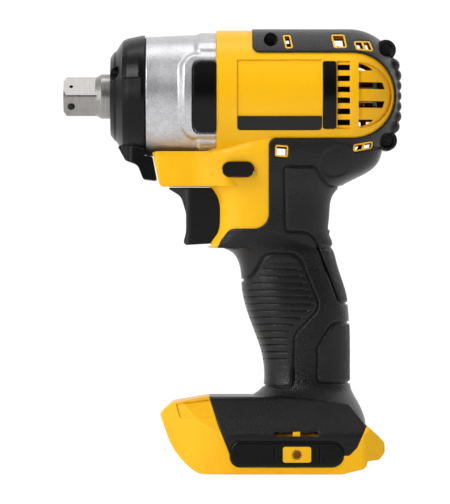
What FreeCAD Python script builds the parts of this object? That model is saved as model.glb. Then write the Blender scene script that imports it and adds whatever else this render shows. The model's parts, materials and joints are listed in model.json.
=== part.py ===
import FreeCAD, Part
import math
import os

# Compact cordless impact wrench, bare tool, as an assembly of its real pieces.
# Millimetres. +Z up, nose towards -X, the tool's left side towards -Y.
# The origin is on the ground under the middle of the tool, which stands on its battery foot.

V = FreeCAD.Vector
NODES = {}

# ---------------------------------------------------------------- driving sizes: outside
SPINDLE_Z = 163.4          # height of the drive axis above the ground
HEAD_R = 29.4              # motor housing, over the soft cover
HEAD_FRONT_X = -7.0        # where the housing meets the hammer case
HEAD_REAR_X = 72.6
DOME_R = 22.0              # rounding of the rear end
REAR_RIB = (3.1, 10.0, 4.4)          # soft ribs on the rear end: radius, half length, pitch
REAR_RIBS_EACH_SIDE = 3
REAR_RIB_OUT = 0.8
COVER_T = 1.8              # soft cover moulded over the shell
SHELL_DROP = 0.6           # bare shell lies this much lower than the cover
WALL = 3.5                 # cover surface to the inside of the shell
GROOVE_D = 0.8             # depth of the moulded grooves in the cover
GROOVE_W = 1.1
FOOT_HALF_W = 33.8
FOOT_TOP_Z = 33.3
CHANNEL_TOP_Z = 15.0       # ceiling of the slot that takes the battery
CHANNEL_FRONT_X = -12.0
CHANNEL_HALF_W = 28.0
RAIL_HALF_W = 24.5         # battery rails reach inwards to here
RAIL_Z = (3.0, 6.0)
RAIL_X = (-4.0, 56.0)
SLAB_T = 2.0               # floor between the battery slot and the foot's hollow
NECK_DROP = 66.0           # spindle axis down to the lower lip of the neck
FAR = 200.0                # longer than anything that it cuts

# ---------------------------------------------------------------- driving sizes: side panel and vents
STRIP_FRONT_X = 8.6        # front end of the cover's top strip
PANEL_HALF_H = 18.5        # bare side panel above and below the spindle axis
PANEL_END_X = 70.4
COVER_FRONT_X = 15.7       # front edge of the cover below the panel
LABEL_X = (2.0, 38.6)
LABEL_HALF_H = 15.2
STRIP_H = 6.2              # dark strip along the bottom of the label place
LABEL_DEPTH = 0.5
BAR_X = (38.9, 44.7)
BAR_HALF_H = 14.6
BAR_DEPTH = 1.0
EXHAUST_X = (45.3, 50.6)
EXHAUST_PITCH = 4.73
EXHAUST_H = 2.4
EXHAUST_COUNT = 6
INTAKE_X = 54.4
INTAKE_PITCH = 8.04
INTAKE_H = 2.9
INTAKE_MARGIN = 4.6        # slots end this far inside the panel's round end
VENT_SINK = 0.8            # louvres lie this far below the panel
VENT_FIELD = (45.1, 50.8, 14.6)      # louvres beside the fan: from x, to x, half height
INTAKE_FIELD = (54.7, 14.0)          # round field beside the brushes: front x, radius
FRAME_W = 0.7              # rim round the small windows
# small framed windows: four corners, x and height above the spindle axis, and x of a divider
WINDOWS = [
    ([(21.6, 26.4), (25.1, 26.4), (26.3, 20.2), (22.9, 20.2)], None),
    ([(42.6, 26.6), (48.5, 26.6), (49.7, 20.4), (43.8, 20.4)], None),
    ([(52.1, 23.6), (59.4, 23.6), (61.3, 18.8), (53.6, 19.6)], 56.8),
    ([(18.5, -21.4), (24.1, -21.8), (23.9, -26.8), (18.3, -26.4)], None),
    ([(52.4, -21.2), (61.0, -19.6), (60.4, -23.0), (52.0, -24.6)], 56.4),
]
DIVIDER_W = 1.0
# bare recessed field on the foot's nose
BADGE = [(-24.4, 30.0), (-9.9, 31.9), (-9.0, 24.6), (-22.6, 23.7, 1.6)]
BADGE_DEPTH = 0.5
# thumb rest under the tang: x, z, radius of the hollow, distance from the middle to its bottom
DIMPLE = (47.0, 131.6, 13.0, 17.0)

# ---------------------------------------------------------------- driving sizes: drive train
SQUARE = 12.7              # half-inch square drive, across flats
SQUARE_EDGE = 1.0          # flat along each corner of the square
DRIVE_TURN = 45.0          # the square rests on its corner
TIP_X = -73.6
SHOULDER_X = -59.7
JOURNAL_R = 9.7
RUN = 0.05                 # radial running clearance
BUSH_WALL = 2.6
SEAL_GAP = 0.3
DETENT_R = 1.6
DETENT_OUT = 0.9           # pin stands out of the square
DETENT_TRAVEL = 0.8
RETAIN_R = 0.9
PIN_X = -70.2
WING_FRONT_X = -36.5
WING_T = 7.0
WING_R = 18.5
WING_HALF = 25.0           # degrees
LUG_HALF = 23.0
LUG_R = 10.4
HAMMER_R = 20.6
HAMMER_GAP = 0.3           # wings to the hammer's face
HAMMER_L = 17.2
HAMMER_TRAVEL = 7.5
SPRING_POCKET = (11.0, 17.2, 11.0)   # inner radius, outer radius, depth
SPRING_R = 14.1
SPRING_WIRE = 2.8
THRUST_BALL_R = 1.4
CAM_R = 7.5                # camshaft under the hammer
CAM_BALL_R = 2.5
CAM_BALL_X = -21.6
PILOT_R = 4.5
PILOT_L = 11.5
MODULE = 0.75
SUN_TEETH = 9
PLANET_TEETH = 21
RING_TEETH = SUN_TEETH + 2 * PLANET_TEETH
PLANETS = 3
PRESSURE = math.radians(25.0)
ADDENDUM = 0.8             # stub teeth, in modules
DEDENDUM = 1.05
BACKLASH = 0.12
GEAR_X = (2.2, 8.2)
CARRIER_R = 17.2
CARRIER_X = (-2.0, 1.8, 8.6, 11.5)
CARRIER_HUB = (8.5, 15.2)  # radius, rear end
SUN_BORE_R = 4.8
PLANET_PIN_R = 2.2
CASE_X = (-51.5, -38.1, -37.2, -8.0, 9.0)   # nose, shoulder, inner face, flange rear, spigot rear
CASE_BORE_R = 22.6
HUB_R = 15.5
FLANGE_R = 27.7
SPIGOT_R = 25.9
RIM_R = 28.3               # raised rim round each side pad of the case
RIM_SOFT = 1.5             # its rounding
CASE_BUMPER_X = (-17.1, -7.2)        # soft pad inside the rim
CASE_BUMPER_Z = (-16.2, 14.5)
CASE_SCREW = (15.5, 18.9, 1.25)      # case screws: y, height from the axis, radius
LUG_EAR_R = 2.6            # screw ears inside the housing
EAR_GAP = 0.1
SWELL = (3.7, -13.4)       # swelling of the case over each screw: radius, where its round end starts
LIP_X = -13.2              # housing's lip under the case: front end of its curve
LIP_Z = -21.6
LIP_GAP = 0.2
PLATE_FLANGE = (24.5, 11.8)
EAR_END_X = 14.4          # the housing leaves room for the screw ears and heads up to here
PLATE_CUP = (20.0, 14.6)
PLATE_HUB = (14.0, 21.6)
CAM_BEARING = (12.0, 12.3, 15.3)
ROTOR_BEARING_R = 8.0
FRONT_BEARING_X = (18.2, 21.6)
REAR_BEARING_X = (62.8, 66.2)
CAN_X = (23.0, 44.0)
CAN_R = 23.0
CAN_T = 2.2
MAGNET_T = 3.4
AIR_GAP = 0.6
STACK_X = (25.6, 40.4)
SLOTS = 12
ARM_SHAFT_R = 2.58
FAN_X = (45.2, 51.0)
FAN_R = 22.0
BLADES = 17
COMM_X = (54.0, 60.4)
COMM_R = 9.0
BRUSH_X = 57.0
BRUSH = (6.0, 5.0)         # along x, along z
CARD_X = (60.6, 62.2)

# ---------------------------------------------------------------- driving sizes: controls, wiring, screws
TRIGGER_HALF_W = 8.7
TRIGGER_GAP = 0.5
TRIGGER_TRAVEL = 6.5
TRIGGER_BACK_X = 2.0
POCKET_FLOOR_Z = 98.2
SWITCH_X = (13.0, 32.0)
SWITCH_HALF_W = 8.5
SWITCH_Z = (100.0, 120.6)
PLUNGER_R = 2.5
BUTTON_X = 2.4
BUTTON_DROP = 32.0         # below the spindle axis
BUTTON_L = 13.6
BUTTON_H = 6.4
BUTTON_CLEAR = 0.15
BUTTON_HALF_L = 22.6
BUTTON_TRAVEL = 3.0
LEVER_X = (4.2, 17.0)      # pin of the lever, pivot of the lever
LEVER_PIN_R = 1.2
LEVER_PIVOT_R = 2.2
BLOCK_X = (-8.0, 5.0)
BLOCK_HALF_W = 15.0
BLADE_L = 15.0
HOOK_X = 27.7
HOOK_Z = 8.5
HOOK_PLATE = (6.1, 3.4)    # half length, half height of the plate round the thread
HOOK_BORE_R = 1.65         # tapping bore of an M4 thread
HOOK_CLEAR_R = 2.2         # clearance hole for its screw
INSERT_R = 2.9
INSERT_OUT = 31.4          # outer end of the threaded insert
BUMPER = (-1.2, 48.0, 3.0, 14.3)     # from x, to x, from z, to z
BUMPER_OUT = 34.5
BUMPER_SOFT = 1.1          # rounding round the bumper's outer face
BUMPER_SEAMS = (17.6, 37.1)
STRAP_SLOT = (18.1, 36.9, 16.3, 18.4)
STRAP_SLOT_IN = 27.0
STRAP_TAB = 3.2            # tab of the shell in the middle of the strap slot
BUMPER_IN = 32.0
SCREW_R = 1.5
SCREW_HEAD = (2.8, 2.2)    # radius, thickness
SCREW_BOSS_R = 3.6
REAR_BOSS_R = 4.5
SLEEVE_R = 3.8             # the soft cover lines the open screw holes out to here
SLEEVE_FLOOR = 0.6         # and lies this thick on their bottoms
SLEEVE_SEAT = 0.6          # screw tip to the sleeve's floor
# housing screws: x, z, head seat, open on the left side too
HEAD_SCREWS = [
    (16.5, SPINDLE_Z + 24.2, 7.5, True),
    (66.5, SPINDLE_Z + 20.0, 6.0, True),
    (67.0, SPINDLE_Z - 19.3, 6.0, True),
]
GRIP_SCREWS = [
    (36.0, 108.0, 8.5, False),
    (21.5, 44.0, 8.5, False),
    (-17.5, 13.0, 18.0, False),
    (45.0, 23.5, 18.0, False),
]
LED_R = 3.0
LED_AT = 19.2              # from the spindle axis
LED_ANGLES = (60.0, 180.0, 300.0)
HOOD = (0.7, 13.5)         # swelling of the boot behind each light: height, half angle


# ---------------------------------------------------------------- shape helpers
def rounded_edges(corners, place):
    """Edges of a closed outline. Each corner is (u, w) or (u, w, radius)."""
    flat = [V(c[0], c[1], 0) for c in corners]
    spans = []
    for i, p in enumerate(flat):
        radius = corners[i][2] if len(corners[i]) > 2 else 0
        if not radius:
            spans.append((p, None, p))
            continue
        back = (flat[i - 1] - p).normalize()
        on = (flat[(i + 1) % len(flat)] - p).normalize()
        half = math.acos(max(-1.0, min(1.0, back.dot(on)))) / 2
        reach = radius / math.tan(half)
        mid = (back + on).normalize()
        spans.append((p + back * reach, p + mid * (radius / math.sin(half) - radius), p + on * reach))
    edges = []
    for i, (start, middle, end) in enumerate(spans):
        last = spans[i - 1][2]
        if (start - last).Length > 1e-6:
            edges.append(Part.LineSegment(place(last.x, last.y), place(start.x, start.y)).toShape())
        if middle is not None:
            edges.append(Part.Arc(*[place(p.x, p.y) for p in (start, middle, end)]).toShape())
    return edges


def outline(corners, place, inset=0.0):
    """Closed wire with rounded corners, drawn smaller by inset."""
    wire = Part.Wire(Part.__sortEdges__(rounded_edges(corners, place)))
    return wire.makeOffset2D(-inset) if inset else wire


def prism_y(corners, y0, y1, inset=0.0):
    """Side outline (x, z) pushed along Y."""
    wire = outline(corners, lambda u, w: V(u, y0, w), inset)
    return Part.Face(wire).extrude(V(0, y1 - y0, 0))


def prism_z(corners, z0, z1, inset=0.0):
    """Plan outline (x, y) pushed along Z."""
    wire = outline(corners, lambda u, w: V(u, w, z0), inset)
    return Part.Face(wire).extrude(V(0, 0, z1 - z0))


def prism_x(corners, x0, x1, inset=0.0):
    """Front outline (y, z) pushed along X."""
    wire = outline(corners, lambda u, w: V(x0, u, w), inset)
    return Part.Face(wire).extrude(V(x1 - x0, 0, 0))


def both_sides(corners):
    """An outline given for positive y, with its mirror image added."""
    return list(corners) + [(c[0], -c[1]) + tuple(c[2:]) for c in reversed(corners)]


def spun(corners):
    """Solid of revolution about the spindle axis, from corners (x, radius)."""
    wire = outline(corners, lambda u, w: V(u, 0, SPINDLE_Z + w))
    return Part.Face(wire).revolve(V(0, 0, SPINDLE_Z), V(1, 0, 0), 360)


def rod(x0, x1, r, outer=None):
    """Cylinder on the spindle axis; with outer given, a tube from r to outer."""
    if outer is None:
        return Part.makeCylinder(r, x1 - x0, V(x0, 0, SPINDLE_Z), V(1, 0, 0))
    return rod(x0, x1, outer).cut(rod(x0 - 1, x1 + 1, r))


def turned(shape, degrees):
    """The shape turned about the spindle axis."""
    copy = shape.copy()
    copy.rotate(V(0, 0, SPINDLE_Z), V(1, 0, 0), degrees)
    return copy


def spread(shape, count, first=0.0):
    """count copies of the shape, evenly spaced about the spindle axis."""
    return [turned(shape, first + 360.0 * i / count) for i in range(count)]


def box(x0, x1, y0, y1, z0, z1):
    return Part.makeBox(x1 - x0, y1 - y0, z1 - z0, V(x0, y0, z0))


def cross_rod(x, z, r, y0, y1):
    """Cylinder along Y."""
    return Part.makeCylinder(r, y1 - y0, V(x, y0, z), V(0, 1, 0))


def stadium_y(x, z, length, height, y0, y1):
    """Slot shape with round ends, pushed along Y."""
    r = height / 2 - 1e-3
    a, b = length / 2, height / 2
    return prism_y([(x - a, z - b, r), (x + a, z - b, r), (x + a, z + b, r), (x - a, z + b, r)], y0, y1)


def oval(z, front, rear, half, power, inset):
    """Closed smooth outline at one height: a superellipse between front and rear."""
    centre, a, b = (front + rear) / 2, (rear - front) / 2 - inset, half - inset
    points = []
    for k in range(24):
        c, s = math.cos(math.pi * k / 12), math.sin(math.pi * k / 12)
        x = centre + a * math.copysign(abs(c) ** (2 / power), c)
        y = b * math.copysign(abs(s) ** (2 / power), s)
        points.append(V(x, y, z))
    curve = Part.BSplineCurve()
    curve.interpolate(points, PeriodicFlag=True)
    return Part.Wire([curve.toShape()])


def lofted(stations, inset):
    """Smooth solid through ovals; each station is (z, front, rear, half width, power)."""
    return Part.makeLoft([oval(*s, inset) for s in stations], True, False)


def fused(shapes):
    first, rest = shapes[0], list(shapes[1:])
    return first.fuse(rest) if rest else first


def keep(name, *shapes):
    """Stores the pieces that make one node."""
    NODES[name] = Part.makeCompound([s for shape in shapes for s in shape.Solids])


# ---------------------------------------------------------------- housing form
# Stations of the neck, measured down from the spindle axis: drop, front, rear, half width.
NECK = [
    (NECK_DROP, -10.6, 41.6, 15.8),
    (60.4, -9.0, 42.0, 16.8),
    (53.4, -7.2, 41.8, 17.6),
    (47.4, -7.2, 42.2, 18.0),
    (42.4, -8.8, 43.8, 18.7),
    (38.4, -12.0, 48.4, 19.6),
    (34.4, -14.0, 56.4, 20.6),
    (29.4, -14.4, 63.0, 21.6),
    (23.4, -14.4, 65.2, 22.6),
    (14.4, -14.4, 65.2, 23.6),
]
# Stations of the grip: share of its height from foot to neck, front, rear, half width.
GRIP = [
    (1.12, -4.4, 42.3, 17.0),
    (0.978, -0.9, 43.8, 16.9),
    (0.931, 1.9, 44.7, 16.7),
    (0.861, 3.4, 45.9, 16.5),
    (0.729, 4.2, 48.7, 16.8),
    (0.604, 5.9, 50.3, 17.0),
    (0.448, 9.4, 50.9, 16.5),
    (0.292, 12.8, 51.0, 15.9),
    (0.136, 14.0, 51.0, 15.9),
    (0.058, 13.0, 51.4, 17.0),
    (0.0, 8.4, 53.0, 20.0),
]
# Stations of the flare into the foot: height above the ground, front, rear, half width.
FLARE = [
    (29.0, 2.0, 55.4, 24.0),
    (24.0, -3.0, 57.4, 27.6),
    (19.0, -4.0, 57.9, 30.4),
    (14.0, -4.0, 55.2, 31.6),
    (9.0, -4.0, 51.6, 32.0),
]
OVAL_NECK = 3.2            # squareness of the ovals; 2 is an ellipse
OVAL_GRIP = 2.5
OVAL_FLARE = 2.7

FOOT_SIDE = [
    (9.0, FOOT_TOP_Z), (-10.5, FOOT_TOP_Z, 14), (-26.0, 30.6, 2.5), (-31.6, 25.6, 2.0), (-25.2, 8.4, 30),
    (-15.0, 0, 9), (47.0, 0, 12), (57.6, 2.6, 3), (58.0, 5.6, 0.6), (63.2, 6.2, 1.6), (65.6, 9.4, 1.8),
    (65.4, 13.8, 3.2), (57.0, 21.4, 3), (50.0, 30.0), (20.0, FOOT_TOP_Z),
]
FOOT_EDGE_Z = 17.2         # the foot's sides lean inwards above this height


FOOT_PLAN = both_sides([(-31.8, 17.0, 14), (-9.0, FOOT_HALF_W, 30), (56.6, FOOT_HALF_W, 4), (66.4, 28.2, 4)])
FOOT_SECTION = [
    (FOOT_HALF_W, 0), (FOOT_HALF_W, FOOT_EDGE_Z, 5), (22.5, FOOT_TOP_Z, 5),
    (-22.5, FOOT_TOP_Z, 5), (-FOOT_HALF_W, FOOT_EDGE_Z, 5), (-FOOT_HALF_W, 0),
]
CHIN_BOTTOM = -39.2        # below the spindle axis
CHIN_SIDE = [(-34.9, -24.0), (-31.6, CHIN_BOTTOM, 1.8), (2.0, CHIN_BOTTOM), (2.0, -24.0)]
CHIN_PLAN = both_sides([(-36.0, 14.0, 5), (-16.0, 15.0, 20), (-2.0, 18.2, 10), (6.0, 18.2)])


def lift(corners):
    """Corners given above the spindle axis, moved to their height."""
    return [(c[0], c[1] + SPINDLE_Z) + tuple(c[2:]) for c in corners]


def head_form(inset):
    r, rear = HEAD_R - inset, HEAD_REAR_X - inset
    return spun([(HEAD_FRONT_X, 0), (HEAD_FRONT_X, r), (rear, r, DOME_R - inset), (rear, 0)])


def neck_form(inset):
    return lofted([(SPINDLE_Z - drop, a, b, h, OVAL_NECK) for drop, a, b, h in NECK], inset)


def grip_form(inset):
    top = SPINDLE_Z - NECK_DROP
    high = [(FOOT_TOP_Z + share * (top - FOOT_TOP_Z), a, b, h, OVAL_GRIP) for share, a, b, h in GRIP]
    return lofted(high + [(z, a, b, h, OVAL_FLARE) for z, a, b, h in FLARE], inset)


def foot_form(inset):
    side = prism_y(FOOT_SIDE, -FAR, FAR, inset)
    plan = prism_z(FOOT_PLAN, -FAR, FAR, inset)
    return side.common(plan).common(prism_x(FOOT_SECTION, -FAR, FAR, inset))


def chin_form(inset):
    side = prism_y(lift(CHIN_SIDE), -FAR, FAR, inset)
    return side.common(prism_z(CHIN_PLAN, 0, FAR, inset))


def body_form(inset, foot_hollow=False, low_inset=None):
    """Outer shape of the housing without the case's place, drawn in by inset (foot and chin by low_inset)."""
    low_inset = inset if low_inset is None else low_inset
    foot = foot_form(low_inset)
    if foot_hollow:
        foot = foot.cut(box(CHANNEL_FRONT_X - SLAB_T, FAR, -FAR, FAR, -1, CHANNEL_TOP_Z + SLAB_T))
    grip = grip_form(inset)
    if foot_hollow:
        grip = grip.cut(box(-FAR, FAR, -FAR, FAR, -1, CHANNEL_TOP_Z + SLAB_T))
    case_r = FLANGE_R + (SLAB_T if foot_hollow else 0.0)
    case = rod(-60, HEAD_FRONT_X, case_r).fuse(box(-60, HEAD_FRONT_X, -FAR, FAR, SPINDLE_Z, FAR))
    low = neck_form(inset).fuse([grip, foot, chin_form(low_inset)]).cut(case)
    return head_form(inset).fuse(low)


# ---------------------------------------------------------------- cover and shells
def cover_region(inset=0.0):
    """Side outline of everything that the soft cover lies over."""
    top, mid, low = SPINDLE_Z + PANEL_HALF_H, SPINDLE_Z, SPINDLE_Z - PANEL_HALF_H
    lip = SPINDLE_Z - NECK_DROP - 1.0
    end = PANEL_HALF_H - 0.01
    corners = [
        (STRIP_FRONT_X, FAR), (STRIP_FRONT_X, top, 3), (PANEL_END_X, top, end), (PANEL_END_X, low, end),
        (COVER_FRONT_X, low, 3), (COVER_FRONT_X, 105.7, 6.5), (-1.0, 105.7, 4),
        (-4.8, 101.0, 2), (-7.0, lip), (-60.0, lip), (-60.0, 40.0), (-11.5, 40.0), (-9.7, 31.7),
        (-6.1, 20.6, 8), (-1.2, 8.5), (50.2, 8.0, 2), (53.6, 11.5), (55.8, 16.4, 8), (58.2, 22.0, 6),
        (64.0, 26.0), (FAR, 26.0), (FAR, FAR),
    ]
    return prism_y(corners, -FAR, FAR, inset)


def framed(window):
    """Prism of a small window's frame in the side view."""
    corners, _ = window
    return prism_y(lift([(x, z, 0.9) for x, z in corners]), -FAR, FAR)


def window_opening(window):
    """Prism of the open part inside the frame, without its divider."""
    corners, divider = window
    opening = prism_y(lift([(x, z, 0.9) for x, z in corners]), -FAR, FAR, FRAME_W)
    if divider is None:
        return opening
    lean = (corners[2][0] - corners[1][0]) / (corners[2][1] - corners[1][1])
    middle = (corners[0][1] + corners[2][1]) / 2
    low, high = middle - 6.0, middle + 6.0
    x_low, x_high = divider + lean * (low - middle), divider + lean * (high - middle)
    half = DIVIDER_W / 2
    bar = [(x_low - half, low), (x_low + half, low), (x_high + half, high), (x_high - half, high)]
    return opening.cut(prism_y(lift(bar), -FAR, FAR))


def vent_fields():
    """The two fields of louvres that lie below the side panel, as prisms along Y."""
    x0, x1, half = VENT_FIELD
    front, radius = INTAKE_FIELD
    fan = box(x0, x1, -FAR, FAR, SPINDLE_Z - half, SPINDLE_Z + half)
    round_field = cross_rod(front, SPINDLE_Z, radius, -FAR, FAR)
    return [fan, round_field.common(box(front, FAR, -FAR, FAR, 0, 2 * FAR))]


def bar_prism():
    x0, x1 = BAR_X
    corners = [(x0, -BAR_HALF_H, 1), (x1, -BAR_HALF_H, 1), (x1, BAR_HALF_H, 1), (x0, BAR_HALF_H, 1)]
    return prism_y(lift(corners), -FAR, FAR)


def label_prism(strip_only=False, inset=0.0):
    x0, x1 = LABEL_X
    top = -LABEL_HALF_H + STRIP_H if strip_only else LABEL_HALF_H
    corners = [(x0, -LABEL_HALF_H, 1.5), (x1, -LABEL_HALF_H, 1.5), (x1, top), (x0, top)]
    return prism_y(lift(corners), -FAR, FAR, inset)


def vent_slots():
    """Exhaust slots beside the fan and intake slots beside the brushes, as prisms along Y."""
    slots = []
    for i in range(EXHAUST_COUNT):
        z = SPINDLE_Z + EXHAUST_PITCH * (i - (EXHAUST_COUNT - 1) / 2)
        slots.append(box(EXHAUST_X[0], EXHAUST_X[1], -FAR, FAR, z - EXHAUST_H / 2, z + EXHAUST_H / 2))
    end_r = PANEL_HALF_H - INTAKE_MARGIN
    centre = PANEL_END_X - PANEL_HALF_H
    disc = cross_rod(centre, SPINDLE_Z, end_r, -FAR, FAR)
    for offset in (-1.5, -0.5, 0.5, 1.5):
        z = SPINDLE_Z + INTAKE_PITCH * offset
        slot = box(INTAKE_X, PANEL_END_X, -FAR, FAR, z - INTAKE_H / 2, z + INTAKE_H / 2)
        slots.append(slot.common(disc))
    return slots


def screw_bosses():
    solids = []
    for x, z, seat, open_left in HEAD_SCREWS + GRIP_SCREWS:
        radius = SCREW_BOSS_R + (0.6 if open_left else 0.0)
        solids.append(cross_rod(x, z, radius, -seat - 4, seat + 4))
    return solids


def screw_sleeves(radius):
    """Where the soft cover lines the open screw holes of the head, on the left side."""
    return [cross_rod(x, z, radius, -FAR, -seat - SLEEVE_SEAT) for x, z, seat, _ in HEAD_SCREWS]


def screw_holes():
    """Cutters for the left half (threads, open ends) and for the right half (shanks, heads)."""
    left, right = [], []
    for x, z, seat, open_left in HEAD_SCREWS + GRIP_SCREWS:
        right.append(cross_rod(x, z, SCREW_HEAD[0] + 0.2, seat, FAR))
        right.append(cross_rod(x, z, SCREW_R, -1, seat + 1))
        left.append(cross_rod(x, z, SCREW_R, -seat, 1))
        if open_left:
            left.append(cross_rod(x, z, SCREW_HEAD[0] + 0.2, -FAR, -seat - SLEEVE_SEAT - SLEEVE_FLOOR))
    return left, right


def inner_ribs():
    """Ribs and seats that carry the motor, the switch and the rear bearing."""
    ribs = [rod(x, x + 2.0, CAN_R, HEAD_R) for x in (CAN_X[0] + 3, CAN_X[1] - 5)]
    ribs.append(rod(REAR_BEARING_X[0], HEAD_REAR_X, ROTOR_BEARING_R, ROTOR_BEARING_R + 2.4))
    ribs.append(rod(REAR_BEARING_X[1], HEAD_REAR_X, ARM_SHAFT_R + 1.5, ROTOR_BEARING_R + 2.4))
    ribs.append(rod(CARD_X[1], HEAD_REAR_X, 18.0, 20.5))
    for x in (SWITCH_X[0] + 4, SWITCH_X[1] - 6):
        for side in (-1, 1):
            y0, y1 = sorted((side * SWITCH_HALF_W, side * FAR))
            ribs.append(box(x, x + 2.0, y0, y1, SWITCH_Z[0], SWITCH_Z[1]))
        ribs.append(box(x, x + 2.0, -FAR, FAR, SWITCH_Z[0] - 3.0, SWITCH_Z[0]).cut(
            box(x - 1, x + 3, -6.0, 6.0, 0, FAR)))
    return ribs


def round_case_screws(x0, x1, r):
    """Cylinders of radius r on the four screws that hold the case and the gear plate together."""
    y, z, _ = CASE_SCREW
    spots = [(sy * y, SPINDLE_Z + sz * z) for sy in (-1, 1) for sz in (-1, 1)]
    return [Part.makeCylinder(r, x1 - x0, V(x0, y, z), V(1, 0, 0)) for y, z in spots]


def case_lip(front_gap=0.0):
    """Curved corner of the housing that reaches forward under the case, as a prism along Y."""
    radius = HEAD_FRONT_X - LIP_X
    low = LIP_Z - radius - 2.0
    top = SPINDLE_Z + LIP_Z + front_gap
    corner = box(LIP_X - front_gap, HEAD_FRONT_X + 1, -FAR, FAR, SPINDLE_Z + low, top)
    return corner.cut(cross_rod(LIP_X, SPINDLE_Z + LIP_Z, radius - front_gap, -FAR, FAR))


def battery_slot():
    """Slot for the battery, open below and to the rear, with two rails left standing."""
    slot = box(CHANNEL_FRONT_X, FAR, -CHANNEL_HALF_W, CHANNEL_HALF_W, -1, CHANNEL_TOP_Z)
    for side in (-1, 1):
        y0, y1 = sorted((side * RAIL_HALF_W, side * (CHANNEL_HALF_W + 1)))
        slot = slot.cut(box(RAIL_X[0], RAIL_X[1], y0, y1, RAIL_Z[0], RAIL_Z[1]))
    return slot


def block_window():
    """Opening in the slot's ceiling for the terminal block."""
    x0, x1 = BLOCK_X
    return box(x0, x1, -BLOCK_HALF_W, BLOCK_HALF_W, CHANNEL_TOP_Z - 1, CHANNEL_TOP_Z + SLAB_T + 1)


def bumper_prism(inset=0.0):
    x0, x1, z0, z1 = BUMPER
    corners = [(x0, z0, 4.4), (x1, z0, 5.5), (x1, z1, 5.5), (x0, z1, 4.4)]
    return prism_y(corners, -FAR, FAR, inset)


def hook_prism():
    """Plate of the shell round the hook's thread, standing through the bumper."""
    half_l, half_h = HOOK_PLATE
    x0, x1, z0, z1 = HOOK_X - half_l, HOOK_X + half_l, HOOK_Z - half_h, HOOK_Z + half_h
    return prism_y([(x0, z0, 1), (x1, z0, 1), (x1, z1, 1), (x0, z1, 1)], -FAR, FAR)


def outside(y):
    """Everything farther than y from the parting plane, on both sides."""
    return box(-FAR, FAR, y, FAR, -1, 2 * FAR).fuse(box(-FAR, FAR, -FAR, -y, -1, 2 * FAR))


def trigger_pocket():
    w = TRIGGER_HALF_W + TRIGGER_GAP
    top = SPINDLE_Z + CHIN_BOTTOM
    return box(-60, TRIGGER_BACK_X + TRIGGER_TRAVEL + 1, -w, w, POCKET_FLOOR_Z, top)


def button_hole():
    length, height = BUTTON_L + 2 * BUTTON_CLEAR, BUTTON_H + 2 * BUTTON_CLEAR
    return stadium_y(BUTTON_X, SPINDLE_Z - BUTTON_DROP, length, height, -FAR, FAR)


FINGER_PAD = [
    (-20.0, 83.5), (7.0, 83.8, 8), (14.0, 95.4, 5), (29.0, 95.6, 7), (38.5, 71.8, 6), (27.2, 59.5, 6),
    (26.8, 36.6, 3), (-20.0, 38.2),
]
UPPER_PAD = [
    (21.5, 133.2, 2.6), (36.2, 133.2, 3), (40.5, 124.6, 5), (60.0, 124.6), (60.0, 72.8), (46.0, 72.8, 3.5),
    (34.2, 103.8, 6.5), (22.3, 103.8, 2.6),
]
LOWER_PAD = [
    (60.0, 65.6), (43.0, 65.6, 5), (36.0, 55.0, 5), (36.0, 38.4, 3), (60.0, 38.4),
]
RIB_PITCH = 3.0
RIB_COUNT = 14


def moulded_grooves():
    """Cutters for the grooves round the grip fields and between the finger ribs."""
    cutters = []
    for pad in (FINGER_PAD, UPPER_PAD, LOWER_PAD):
        cutters.append(prism_y(pad, -FAR, FAR).cut(prism_y(pad, -FAR, FAR, GROOVE_W)))
    field = prism_y(FINGER_PAD, -FAR, FAR, 2.6)
    slits = [box(-20, 60, -FAR, FAR, 49.0 + RIB_PITCH * i, 49.5 + RIB_PITCH * i) for i in range(RIB_COUNT)]
    cutters += [slit.common(field) for slit in slits]
    cutters.append(box(-60, FAR, -0.25, 0.25, 0, 2 * FAR))
    return cutters


def left_of_seam(shape):
    return shape.common(box(-FAR, FAR, -FAR, 0, -1, 2 * FAR))


def mirrored(shape):
    return shape.mirror(V(0, 0, 0), V(0, 1, 0))


def carve(shape, *groups):
    """Cuts each group of tools in turn."""
    for group in groups:
        shape = shape.cut(group)
    return shape


def strap_slot():
    x0, x1, z0, z1 = STRAP_SLOT
    return prism_y([(x0, z0, 0.9), (x1, z0, 0.9), (x1, z1, 0.9), (x0, z1, 0.9)], -FAR, -STRAP_SLOT_IN)


def rear_ribs():
    """Soft ribs across the rear end, following its rounding."""
    radius, half, pitch = REAR_RIB
    ribs = []
    for i in range(-REAR_RIBS_EACH_SIDE, REAR_RIBS_EACH_SIDE + 1):
        off = abs(i) * pitch
        sunk = DOME_R - math.sqrt(DOME_R ** 2 - max(0.0, off - (HEAD_R - DOME_R)) ** 2)
        x = HEAD_REAR_X + REAR_RIB_OUT - radius - sunk
        z = SPINDLE_Z + i * pitch
        ribs += [cross_rod(x, z, radius, -half, 0), Part.makeSphere(radius, V(x, -half, z))]
    return ribs


def cover_half(skin, under, region, frames, shared):
    """Left half of the soft cover."""
    rear_bosses = [cross_rod(x, z, REAR_BOSS_R, -seat - 3.5, 0) for x, z, seat, _ in HEAD_SCREWS[1:]]
    cover = skin.common(region).fuse(rear_bosses + rear_ribs())
    cover = carve(cover, under, [frames, bumper_prism().common(outside(20)), strap_slot()] + shared)
    cover = cover.fuse([sleeve.common(skin) for sleeve in screw_sleeves(SLEEVE_R)])
    floor = left_of_seam(body_form(GROOVE_D))
    x, z, radius, out = DIMPLE
    dimple = Part.makeSphere(radius, V(x, -out - radius, z))
    return cover.cut(left_of_seam(fused(moulded_grooves() + [dimple])).cut(floor))


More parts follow.
